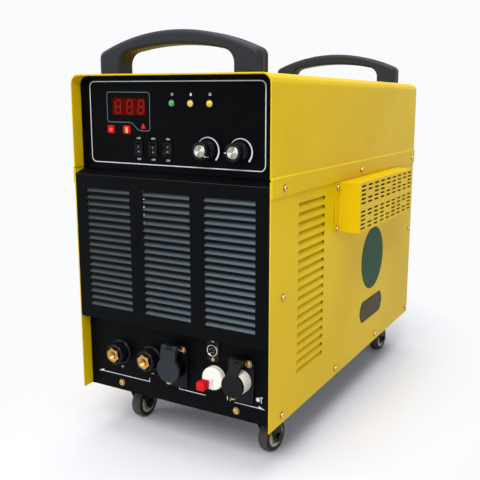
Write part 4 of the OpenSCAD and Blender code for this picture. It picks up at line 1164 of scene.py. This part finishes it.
class CUTTER_OT_print(CutterOperator):
    """White and grey print on the two front panels, and the two plain badges"""
    bl_idname = "cutter.print"
    bl_label = "Print and badges"
    # Places above the base; those of the badges are counted from the side panel's front edge.
    border = ((-153.5, 375), (156, 497.5))
    display_corners = ((-120, 482), (-120, 437), (-73.7, 437), (-60, 425), (-39.6, 425),
                       (-39, 481.5))
    lower_line, lower_signs = 26, 41
    badge_at, plate_at = (421.5, 175.7), (422, 77.5)

    def build(self):
        self.control_print()
        self.lower_print()
        self.badges()

    def lay(self, pieces, name, shade):
        settle(joined(pieces), name, ink(name + "_ink", shade),
               on_panel(lift=PRINT_LIFT))

    def patch(self, *outlines):
        """Printed patch, its outer outline first."""
        return plate(list(outlines), sizes().print_t)

    def line(self, outline, width):
        return self.patch(widened(outline, -width / 2), widened(outline, width / 2))

    def stroke(self, x, z, half_w, half_h, corner=0.0):
        """Upright rectangle about a point, its corners square or round."""
        low, high = (x - half_w, z - half_h), (x + half_w, z + half_h)
        if corner:
            return self.patch(rounded(low, high, corner, 2))
        return self.patch([low, (high[0], low[1]), high, (low[0], high[1])])

    def control_print(self):
        low, high = [(x, BASE_Z + up) for x, up in self.border]
        pieces = [self.line(rounded(low, high, 8, 6), sizes().line_w)]
        for node in ("current_knob", "pressure_knob"):
            pieces.append(self.swelling_arc(*face_centre(box_mm(node))))
        word_gap, sign_gap = 5.2, 7.0
        for low, high in islands("rocker_bezels"):
            x = (low.x + high.x) / 2
            pieces += [self.word("ON", x, high.z + word_gap), self.word("OFF", x, low.z - word_gap)]
        signs = (self.power_sign, self.drop_sign, self.wave_sign)
        for (low, high), sign in zip(islands("status_lamps"), signs):
            pieces += sign((low.x + high.x) / 2, high.z + sign_gap)
        self.lay(pieces, "control_print", "print_white")
        outline = rounded_polygon([(x, BASE_Z + up) for x, up in self.display_corners], 5)
        self.lay([self.line(outline, sizes().thin_line_w)], "display_outline", "print_grey")

    def word(self, text, x, z):
        """Small lettering for a switch."""
        start()
        bpy.ops.object.text_add()
        label = bpy.context.object
        label.data.body = text
        label.data.size = 4.4
        label.data.align_x = "CENTER"
        label.data.align_y = "CENTER"
        label.data.extrude = sizes().print_t / 2
        label.data.resolution_u = 3
        bpy.ops.object.convert(target="MESH")
        piece = bpy.context.object
        piece.data.transform(shift(x, z, sizes().print_t / 2))
        close_up(piece)
        return piece

    def swelling_arc(self, x, z):
        """Arc round a knob that grows from a fine start to a broad round end."""
        radius, first, last, count = 18.5, 140, -42, 40
        fine, broad = 0.35, 1.4
        inner, outer = [], []
        for i in range(count + 1):
            half = fine + (broad - fine) * i / count
            a = math.radians(first + (last - first) * i / count)
            for side, by in ((inner, -half), (outer, half)):
                side.append((x + (radius + by) * math.cos(a), z + (radius + by) * math.sin(a)))
        tip = arc((x, z), radius, last, last, 1)[0]
        cap = arc(tip, broad, last, last - 180, 8)
        return self.patch(outer + cap[1:-1] + inner[::-1])

    def power_sign(self, x, z):
        ring = arc((x, z), 2.0, 125, 415, 16) + arc((x, z), 1.5, 415, 125, 16)
        return [self.patch(ring), self.stroke(x, z + 1.45, 0.25, 1.15, 0.2)]

    def drop_sign(self, x, z):
        return [self.patch([(x, z + 2.8)] + arc((x, z - 0.5), 1.7, 150, 390, 14))]

    def wave_sign(self, x, z):
        return [self.stroke(x, z + up, 2.4, 0.25, 0.2) for up in (-1.5, 0, 1.5)]

    def lower_print(self):
        """Lines with arrow heads under the connectors, signs over them, and a tap's outline."""
        z, sign_z, tap_x = BASE_Z + self.lower_line, BASE_Z + self.lower_signs, 146

        def bar(x0, x1, z0=z, half=0.6):
            return self.stroke((x0 + x1) / 2, z0, (x1 - x0) / 2, half)
        pieces = [bar(-146.4, -52), bar(5, 54), bar(106, 146.4)]
        pieces.append(self.patch([(-158, z - 1.2), (-146.6, z - 0.8), (-147.2, z + 3.8)]))
        pieces.append(self.patch([(158, z - 1.2), (147.2, z + 3.8), (146.6, z - 0.8)]))
        pieces += [bar(-53.2, -52, z + 3.2, 2.5), bar(5, 6.2, z + 3.2, 2.5)]
        plus_x, minus_x = [face_centre(box)[0] for box in islands("terminal_rings")]
        pieces += [self.stroke(x, sign_z, 2.6, 0.5) for x in (plus_x, minus_x)]
        pieces += [self.stroke(plus_x, sign_z + up, 0.5, 1.05) for up in (-1.6, 1.6)]
        pieces.append(self.patch(arc((tap_x, z + 13), 3.4, *ARC_OPEN)))
        pieces.append(bar(tap_x + 5, tap_x + 6.2, z + 12.2, 4.2))
        pieces.append(bar(tap_x + 3.2, tap_x + 8.2, z + 17.1))
        pieces.append(bar(92.8, 94.2, z + 5, 4.2))
        pieces.append(bar(98.2, 99.4, z + 2.6, 1.8))
        self.lay(pieces, "lower_print", "print_white")

    def on_side(self, along, up):
        """Place of a flat piece on the right side: its own +Z points out and its +X to the rear."""
        return Matrix(((0, 0, 1, SIDE_X), (1, 0, 0, SIDE_FRONT + along), (0, 1, 0, BASE_Z + up),
                       (0, 0, 0, 1)))

    def badges(self):
        """A plain green disc and a plain dark plate with bowed ends, both bare."""
        r = sizes().badge_d / 2
        disc = turned([(r - 0.1, 0), (r, 0.1), (r - 0.05, 0.35), (r - 0.5, 0.6), (r - 1.6, 0.6),
                       (r - 1.9, 0.45), (1, 0.45)], 96)
        settle(disc, "badge_disc", ink("badge_green_ink", "badge_green"),
               self.on_side(*self.badge_at))
        half_w, half_h, bow = sizes().plate_w / 2, sizes().plate_h / 2, 11
        shape = [(-half_w + bow, -half_h), (half_w - bow, -half_h), (half_w, 0),
                 (half_w - bow, half_h), (-half_w + bow, half_h), (-half_w, 0)]
        base = plate([rounded_polygon(shape, 9)], 0.6, 0.15)
        inner = rounded_polygon([(along * 0.955, up * 0.87) for along, up in shape], 8)
        rim = plate([widened(inner, -0.4), widened(inner, 0.4)], 0.12)
        rim.data.transform(shift(0, 0, 0.58))
        settle(joined([base, rim]), "dark_plate", ink("plate_ink", "plate"),
               self.on_side(*self.plate_at))


class CUTTER_OT_connectors(CutterOperator):
    """Terminals, outlet, inlet, pilot socket and air valve of the lower panel"""
    bl_idname = "cutter.connectors"
    bl_label = "Connectors"
    lid_t = 5.0
    thread_pitch = 1.5

    def build(self):
        self.terminals()
        black = moulded("connector_black", "plastic", 0.33)
        # Outlet lid: its own near-black, with a painted bluish reflection tinted into the colour.
        lid_painted_reflection = moulded("lid_blue_black", (0.095, 0.12, 0.145), 0.36, 0.02, 0.3)
        bright = plated("bright_pin", (0.75, 0.75, 0.76), 0.25)
        soften("outlet_body", "outlet_shell", black, 0.5)
        soften("outlet_pin", "outlet_hinge_pin", bright, 0.3, least=0)
        self.inlet(black)
        self.flap("outlet_lid", (5.3, 14), 1.6, "outlet_flap", lid_painted_reflection)
        self.flap("inlet_cap", (4.3, 9), 0, "inlet_flap", black)
        soften("air_fitting", "air_bonnet", moulded("bonnet_white", "white", 0.28), 0.5, 3, least=0)
        soften("valve_knob", "valve_grip", moulded("valve_red", "red", 0.3), 1.2, 4)
        self.pilot()

    def inlet(self, black):
        """Black flange and hinge lug of the inlet and its white barrel, cut from the CAD solid."""
        flange_t, lug_drop = 4.02, 4.5
        low, high = box_mm("inlet_body")
        low, high = low - Vector((5, 5, 5)), high + Vector((5, 5, 5))
        face, lug_z = PANEL_Y - flange_t, joint("inlet_cap_swing")[0].z - lug_drop
        before = (low, (high.x, face, high.z))
        behind = ((low.x, face, low.z), high)
        above = ((low.x, low.y, lug_z), high)
        below = (low, (high.x, high.y, lug_z))
        for name, drop in (("inlet_barrel", (behind, above)), ("inlet_lug", (behind, below)),
                           ("inlet_flange", (before,))):
            piece = copy_of("inlet_body", flatten=False)
            for corners in drop:
                cut(piece, block(*corners))
            if name == "inlet_barrel":
                stand_in(piece, name, "inlet_body", moulded("connector_white", "white", 0.32))
            else:
                settle(piece, name, black)

    def flap(self, node, ears, bore, name, material):
        """Lid with a rounded disc, two ears round the hinge pin and a tab in front of them.
        Without a bore in its ears, it carries the pin itself."""
        low, high = box_mm(node)
        pin = joint(node + "_swing")[0]
        disc_r = (high.x - low.x) / 2
        x, z = (low.x + high.x) / 2, low.z + disc_r
        front = PANEL_Y - low.y
        face = front - self.lid_t
        disc = turned([(1, face), (disc_r - 0.5, face), (disc_r, face + 0.5),
                       (disc_r, front - 1.6), (disc_r - 0.5, front - 0.5), (disc_r - 1.6, front),
                       (disc_r - 3, front), (disc_r - 3.6, front - 0.3), (1, front - 0.3)], 72)
        disc.data.transform(on_panel(x, z))
        # Outlines of the ears and the tab: up from the disc's centre, out from the panel.
        up, out, boss = pin.z - z, PANEL_Y - pin.y, high.z - pin.z
        ear = [(disc_r - 7, face + 0.5), (disc_r - 7, front - 0.8), (disc_r - 2.2, front - 0.2)]
        ear += arc((up, out), boss, 53, -143, 20) + [(disc_r + 0.9, face + 0.2)]
        ear = [ear, arc((up, out), bore, *ARC_OPEN)] if bore else [ear]
        end = up - 0.5
        slope = (front - out - 0.8 * boss) / (up + 0.6 * boss - disc_r + 2)
        inner = max(front - slope * (end - disc_r + 2) - 0.6, out + boss + 0.35)
        tab = [(disc_r - 4, front - 0.8), (disc_r - 4, front + 0.4), (disc_r - 2, front + 0.4),
               (end, inner + 1.1), (end, inner), (disc_r - 2, front - 0.8)]
        near, far = ears
        parts = [(ear, -far, far - near, 0.25), (ear, near, far - near, 0.25),
                 ([tab], 0.5 - far, 2 * far - 1, 0.25)]
        if not bore:
            parts.append(([arc((up, out), 1.5, *ARC_OPEN)], -6, 12, 0.0))
        made = [disc]
        for outlines, start_x, width, edge in parts:
            part = plate(outlines, width, edge)
            part.data.transform(Matrix(((0, 0, 1, x + start_x), (0, -1, 0, PANEL_Y),
                                        (1, 0, 0, z), (0, 0, 0, 1))))
            made.append(part)
        stand_in(joined(made), name, node, material)

    def terminals(self):
        """Notched insulating rings round the brass terminals, each with a sleeve behind it."""
        def in_notch(vert):
            on_rim = vert.co.xy.length > 14 and vert.co.z > 5.5
            return on_rim and near_middle(vert, 45, 5)
        rings, nuts = [], []
        for box in islands("terminal_rings"):
            out = PANEL_Y - box[0].y
            ring = turned([(12.5, out - 6), (12.5, out - 0.4), (13.0, out), (15.6, out),
                           (17.0, out - 1.4), (17.5, out - 2.4), (17.5, 5.0), (18.2, 4.2),
                           (19.4, 4.0), (20, 3.4), (20, 0), (12.5, 0), (12.5, out - 6)], 80)
            shrink_points(ring, in_notch, 0.93)
            sleeve = turned([(8.2, -12), (12, -12), (12, 0.5), (8.2, 0.5), (8.2, -12)], 40)
            for part in (ring, sleeve):
                part.data.transform(on_panel(*face_centre(box)))
                rings.append(part)
        stand_in(joined(rings), "terminal_insulators", "terminal_rings",
                 moulded("insulator_black", "plastic", 0.35), smooth=40)
        for box in islands("terminal_nuts"):
            nut = self.nut(PANEL_Y - box[0].y, box[1].y - PANEL_Y)
            nut.data.transform(on_panel(*face_centre(box)))
            nuts.append(nut)
        stand_in(joined(nuts), "terminal_hexes", "terminal_nuts",
                 plated("brass_turned", "brass", 0.2, 0.6), smooth=35)

    def nut(self, out, back):
        """Hexagonal brass terminal, chamfered, with a threaded bore."""
        start()
        bpy.ops.mesh.primitive_cylinder_add(vertices=6, radius=12.1, depth=9)
        hexagon = bpy.context.object
        hexagon.data.transform(spin(12, "Z") @ shift(0, 0, out - 4.5))
        apply_modifier(hexagon, "BEVEL", width=0.5, segments=2, limit_method="ANGLE",
                       angle_limit=math.radians(30))
        shaper = turned([(10.4, out - 10), (12.6, out - 8.7), (12.6, out - 1.4),
                         (10.2, out + 0.02)], 60)
        cut(hexagon, shaper, "INTERSECT")
        cut(hexagon, turned([(5.2, out - 13), (5.2, out - 1.0), (6.3, out + 0.1),
                             (6.3, out + 2)], 40))
        pitch, turns, inmost = self.thread_pitch, 5, out - 9
        thread = [(5.25, inmost)]
        for k in range(turns):
            h = inmost + k * pitch
            thread += [(4.75, h + pitch * 0.4), (4.75, h + pitch * 0.6), (5.25, h + pitch)]
        thread += [(5.6, inmost + turns * pitch), (5.6, inmost), (5.25, inmost)]
        shank = turned([(8, -back), (8, out - 8), (5.4, out - 8), (5.4, out - 13),
                        (0.5, out - 13)], 40)
        return joined([hexagon, turned(thread, 40), shank])

    def pilot(self):
        """Chromed control socket with its pins."""
        place = on_panel(*face_centre(box_mm("pilot_socket")))
        base = plate([rounded((-10.5, -19), (10.5, 19), 5), arc((0, 0), 7.7, 0, 350, 35)], 1.5, 0.3)
        settle(base, "pilot_plate", moulded("pilot_plate_black", "plastic", 0.35),
               place)
        ring = turned([(7.6, 0.2), (7.6, 4.6), (8.0, 5.0), (8.9, 5.0), (9.3, 4.6), (9.3, 3.6),
                       (9.0, 3.3), (9.3, 3.0), (9.3, 0.2), (7.6, 0.2)], 48)
        stand_in(ring, "pilot_ring", "pilot_socket",
                 plated("chrome_ring", (0.80, 0.80, 0.80), 0.16, 0.5), place, smooth=35)
        core = turned([(7.5, -17), (7.5, 0.8), (6.6, 1.0), (1, 1.0)], 40)
        settle(core, "pilot_insulator", moulded("pilot_black", "plastic", 0.4),
               place)
        pin = turned([(0.9, 0), (0.9, 3.4), (0.6, 3.9), (0.2, 4.0)], 16)
        spots = [spin(angle, "Z") @ shift(3.7, 0, 1)
                 for angle in (20, 92, 164, 236, 308)]
        settle(copies(pin, spots), "pilot_pins", plated("pin_metal", (0.86, 0.80, 0.62), 0.2),
               place)


class CUTTER_OT_casters(CutterOperator):
    """Tyres, wheel centres, forks and plates of the four swivel casters"""
    bl_idname = "cutter.casters"
    bl_label = "Casters"

    def build(self):
        black = moulded("fork_black", (0.075, 0.075, 0.075), 0.38)
        for wheel in WHEELS:
            soften("fork_" + wheel, "fork_%s_bracket" % wheel, black, 0.5)
            self.wheel(wheel)
        soften("caster_plates", "caster_plates_pressed",
               plated("caster_zinc", (0.70, 0.70, 0.70), 0.35), 0.5)

    def wheel(self, wheel):
        """Tyre with rounded shoulders on a dished wheel centre, each the same from both sides."""
        centre, axis = joint("roll_" + wheel)
        place = Matrix.Translation(centre) @ upright(axis)
        low, high = box_mm("tyre_" + wheel)
        radius = (high.z - low.z) / 2
        rim = radius - 7.75
        half = 10.0
        tyre = [(rim, half - 0.6), (rim + 0.6, half), (radius - 4.6, half),
                (radius - 3.4, half - 0.35), (radius - 1.6, half - 1.3),
                (radius - 0.55, half - 2.7), (radius - 0.12, half - 4.4), (radius, 2.2)]
        rubber_of_wheel = tyre_rubber(*[round(part, 4) for part in axis])
        stand_in(turned(both_sides(tyre), 72), "tyre_%s_tread" % wheel, "tyre_" + wheel,
                 rubber_of_wheel, place, smooth=40)
        rim -= 0.05
        well = rim - 5.6
        hub = [(3.06, half), (6.0, half), (6.6, half - 0.6), (6.8, 6), (well - 0.6, 5.6),
               (well, half - 1.4), (well + 0.5, half - 0.9), (rim - 0.5, half - 0.9),
               (rim, half - 1.4)]
        stand_in(turned(both_sides(hub), 60), "hub_%s_centre" % wheel, "hub_" + wheel,
                 hub_cream(), place, smooth=40)


class CUTTER_OT_rear(CutterOperator):
    """Fan, guard, breaker and cable gland of the rear panel"""
    bl_idname = "cutter.rear"
    bl_label = "Rear fittings"

    def build(self):
        black = moulded("rear_black", (0.075, 0.078, 0.082), 0.42)
        soften("fan_frame", "fan_housing", black, 0.6)
        soften("breaker", "breaker_case", black, 0.7)
        soften("breaker_lever", "breaker_toggle",
               moulded("toggle_black", (0.04, 0.04, 0.04), 0.25), 0.5, 3)
        soften("cable_gland", "cable_gland_body", black, 0.7)
        self.rotor()
        self.plain()

    def rotor(self):
        """Fan rotor with curved, tapered blades."""
        centre = joint("fan_spin")[0]
        low, high = box_mm("fan_rotor")
        tip_r = (high.z - low.z) / 2 - 1.0
        hub_r, depth, count = 28, 23.0, 7
        hub = turned([(3.1, 0), (hub_r - 1.5, 0), (hub_r, 1.5), (hub_r, depth - 3),
                      (hub_r - 1.2, depth - 0.8), (hub_r - 3, depth), (1, depth)], 56)
        turns = [spin(360 * k / count, "Z") for k in range(count)]
        blades = copies(self.blade(hub_r - 1.5, tip_r, depth / 2), turns)
        place = shift(centre.x, (low.y + high.y - depth) / 2, centre.z) @ spin(-90, "X")
        stand_in(joined([hub, blades]), "fan_impeller", "fan_rotor",
                 moulded("impeller_black", (0.09, 0.09, 0.095), 0.4), place)

    def blade(self, root_r, tip_r, height):
        """One blade: a grid that is bent, twisted towards its tip and given a thickness."""
        start()
        bpy.ops.mesh.primitive_grid_add(x_subdivisions=8, y_subdivisions=8, size=1)
        piece = bpy.context.object
        for vert in piece.data.vertices:
            out = vert.co.x + 0.5
            chord = vert.co.y * (24 - 4 * out)
            lean = math.radians(48 - 20 * out)
            camber = 2.2 * (1 - (2 * vert.co.y) ** 2)
            radius = root_r + out * (tip_r - root_r)
            angle = (chord * math.cos(lean) - camber * math.sin(lean)) / radius
            vert.co = (radius * math.cos(angle), radius * math.sin(angle),
                       height + chord * math.sin(lean) + camber * math.cos(lean))
        apply_modifier(piece, "SOLIDIFY", thickness=1.6, offset=0)
        close_up(piece)
        return piece

    def plain(self):
        """Finishes of the CAD nodes whose shape is kept."""
        looks = {
            "fan_guard": plated("guard_chrome", (0.80, 0.80, 0.81), 0.2),
            "base_plate": plated("zinc_sheet", (0.66, 0.67, 0.68), 0.4),
            "mid_shelf": plated("shelf_zinc", (0.66, 0.67, 0.68), 0.42),
            "hex_bolts": plated("zinc_bolts", (0.68, 0.68, 0.69), 0.35),
            "potentiometers": plated("pot_steel", (0.66, 0.66, 0.66), 0.35),
            "compressor": plated("cast_aluminium", (0.62, 0.63, 0.64), 0.55),
            "compressor_feet": rubber(),
            "transformer": laminations(),
            "heatsink": plated("heatsink_aluminium", (0.72, 0.73, 0.74), 0.42),
        }
        for node, material in looks.items():
            mesh = frame["nodes"][node].data
            mesh.materials.clear()
            mesh.materials.append(material)
            for polygon in mesh.polygons:
                polygon.material_index = 0


class CUTTER_OT_stage(CutterOperator):
    """Pale floor, soft light and the camera"""
    bl_idname = "cutter.stage"
    bl_label = "Stage"

    lamps = (("key", (0.6, -2.5, 2.6), 1.6, 84), ("overhead", (0.1, 0.0, 2.6), 2.2, 52),
             ("left_fill", (-2.6, -1.6, 1.9), 1.8, 22), ("right_fill", (2.9, -0.3, 1.2), 1.8, 10))
    lamp_aim = (0, 0, 0.3)
    world_colour, world_strength = (0.92, 0.95, 1.0, 1), 0.32
    eye = (0.5956, -1.1352, 0.5529)
    azimuth, pitch, roll = 27.80, 10.75, 0.45     # degrees
    lens, shift_x, shift_y = 50.985, -0.0625, -0.0229

    def build(self):
        self.floor()
        self.world()
        for lamp in self.lamps:
            self.lamp(*lamp)
        self.camera()

    def floor(self):
        start()
        bpy.ops.mesh.primitive_plane_add(size=14)
        floor = bpy.context.object
        floor.name = "studio_floor"
        f = Finish("studio_floor")
        f.set(base_color=tint("floor"), roughness=0.7, specular_ior_level=0.1)
        from_middle = f.length(f.stretched(1.6, 1, 1))
        f.white_to_eye(BACKDROP, from_middle.spread(0.36, 0.72))
        floor.data.materials.append(f.material)

    def world(self):
        """Dim sky for the light, and a plain white one for camera and glossy rays."""
        world = bpy.data.worlds.new("studio")
        bpy.context.scene.world = world
        world.use_nodes = True
        nodes, link = world.node_tree.nodes, world.node_tree.links.new
        light, backdrop = nodes["Background"], nodes.new("ShaderNodeBackground")
        for sky, colour_, strength in ((light, self.world_colour, self.world_strength),
                                       (backdrop, BACKDROP, 1.0)):
            sky.inputs["Color"].default_value = colour_
            sky.inputs["Strength"].default_value = strength
        rays, seen = nodes.new("ShaderNodeLightPath"), nodes.new("ShaderNodeMath")
        seen.operation = "MAXIMUM"
        link(rays.outputs["Is Camera Ray"], seen.inputs[0])
        link(rays.outputs["Is Glossy Ray"], seen.inputs[1])
        mixed = nodes.new("ShaderNodeMixShader")
        for i, source in enumerate((seen, light, backdrop)):
            link(source.outputs[0], mixed.inputs[i])
        link(mixed.outputs[0], nodes["World Output"].inputs["Surface"])

    def lamp(self, name, spot, size, power):
        """Square area lamp that faces the object."""
        data = bpy.data.lights.new(name, "AREA")
        data.size = size
        data.energy = power
        lamp = bpy.data.objects.new(name, data)
        bpy.context.collection.objects.link(lamp)
        aim = Vector(self.lamp_aim) - Vector(spot)
        lamp.rotation_euler = aim.to_track_quat("-Z", "Y").to_euler()
        lamp.location = spot

    def camera(self):
        """Three-quarter view from the front right, a little above."""
        data = bpy.data.cameras.new("view")
        data.sensor_width = 36.0
        data.lens, data.shift_x, data.shift_y = self.lens, self.shift_x, self.shift_y
        turn = spin(self.azimuth, "Z") @ spin(90 - self.pitch, "X") @ spin(self.roll, "Z")
        camera = bpy.data.objects.new("view", data)
        bpy.context.collection.objects.link(camera)
        camera.matrix_world = shift(*self.eye) @ turn
        bpy.context.scene.camera = camera
        bpy.context.scene.view_settings.view_transform = "Standard"


OPERATORS = (CUTTER_OT_casing, CUTTER_OT_handles, CUTTER_OT_screws, CUTTER_OT_controls,
             CUTTER_OT_print, CUTTER_OT_connectors, CUTTER_OT_casters, CUTTER_OT_rear,
             CUTTER_OT_stage)


class CUTTER_PT_panel(bpy.types.Panel):
    """Sizes, colours and building steps of the plasma cutter"""
    bl_idname = "CUTTER_PT_panel"
    bl_label = "Plasma cutter"
    bl_space_type = "VIEW_3D"
    bl_region_type = "UI"
    bl_category = "Plasma cutter"

    def draw(self, context):
        layout = self.layout
        for group in (context.scene.cutter_sizes, context.scene.cutter_colours):
            column = layout.column(align=True)
            for name in group.__annotations__:
                column.prop(group, name)
        for operator in OPERATORS:
            layout.operator(operator.bl_idname)


CLASSES = (CutterSizes, CutterColours) + OPERATORS + (CUTTER_PT_panel,)


def register():
    for cls in CLASSES:
        bpy.utils.register_class(cls)
    bpy.types.Scene.cutter_sizes = PointerProperty(type=CutterSizes)
    bpy.types.Scene.cutter_colours = PointerProperty(type=CutterColours)


def unregister():
    del bpy.types.Scene.cutter_colours
    del bpy.types.Scene.cutter_sizes
    for cls in reversed(CLASSES):
        bpy.utils.unregister_class(cls)


def main():
    """Registers the add-on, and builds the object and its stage."""
    register()
    bpy.ops.cutter.casing()
    bpy.ops.cutter.handles()
    bpy.ops.cutter.screws()
    bpy.ops.cutter.controls()
    bpy.ops.cutter.print()
    bpy.ops.cutter.connectors()
    bpy.ops.cutter.casters()
    bpy.ops.cutter.rear()
    bpy.ops.cutter.stage()


if __name__ == "__main__":
    main()
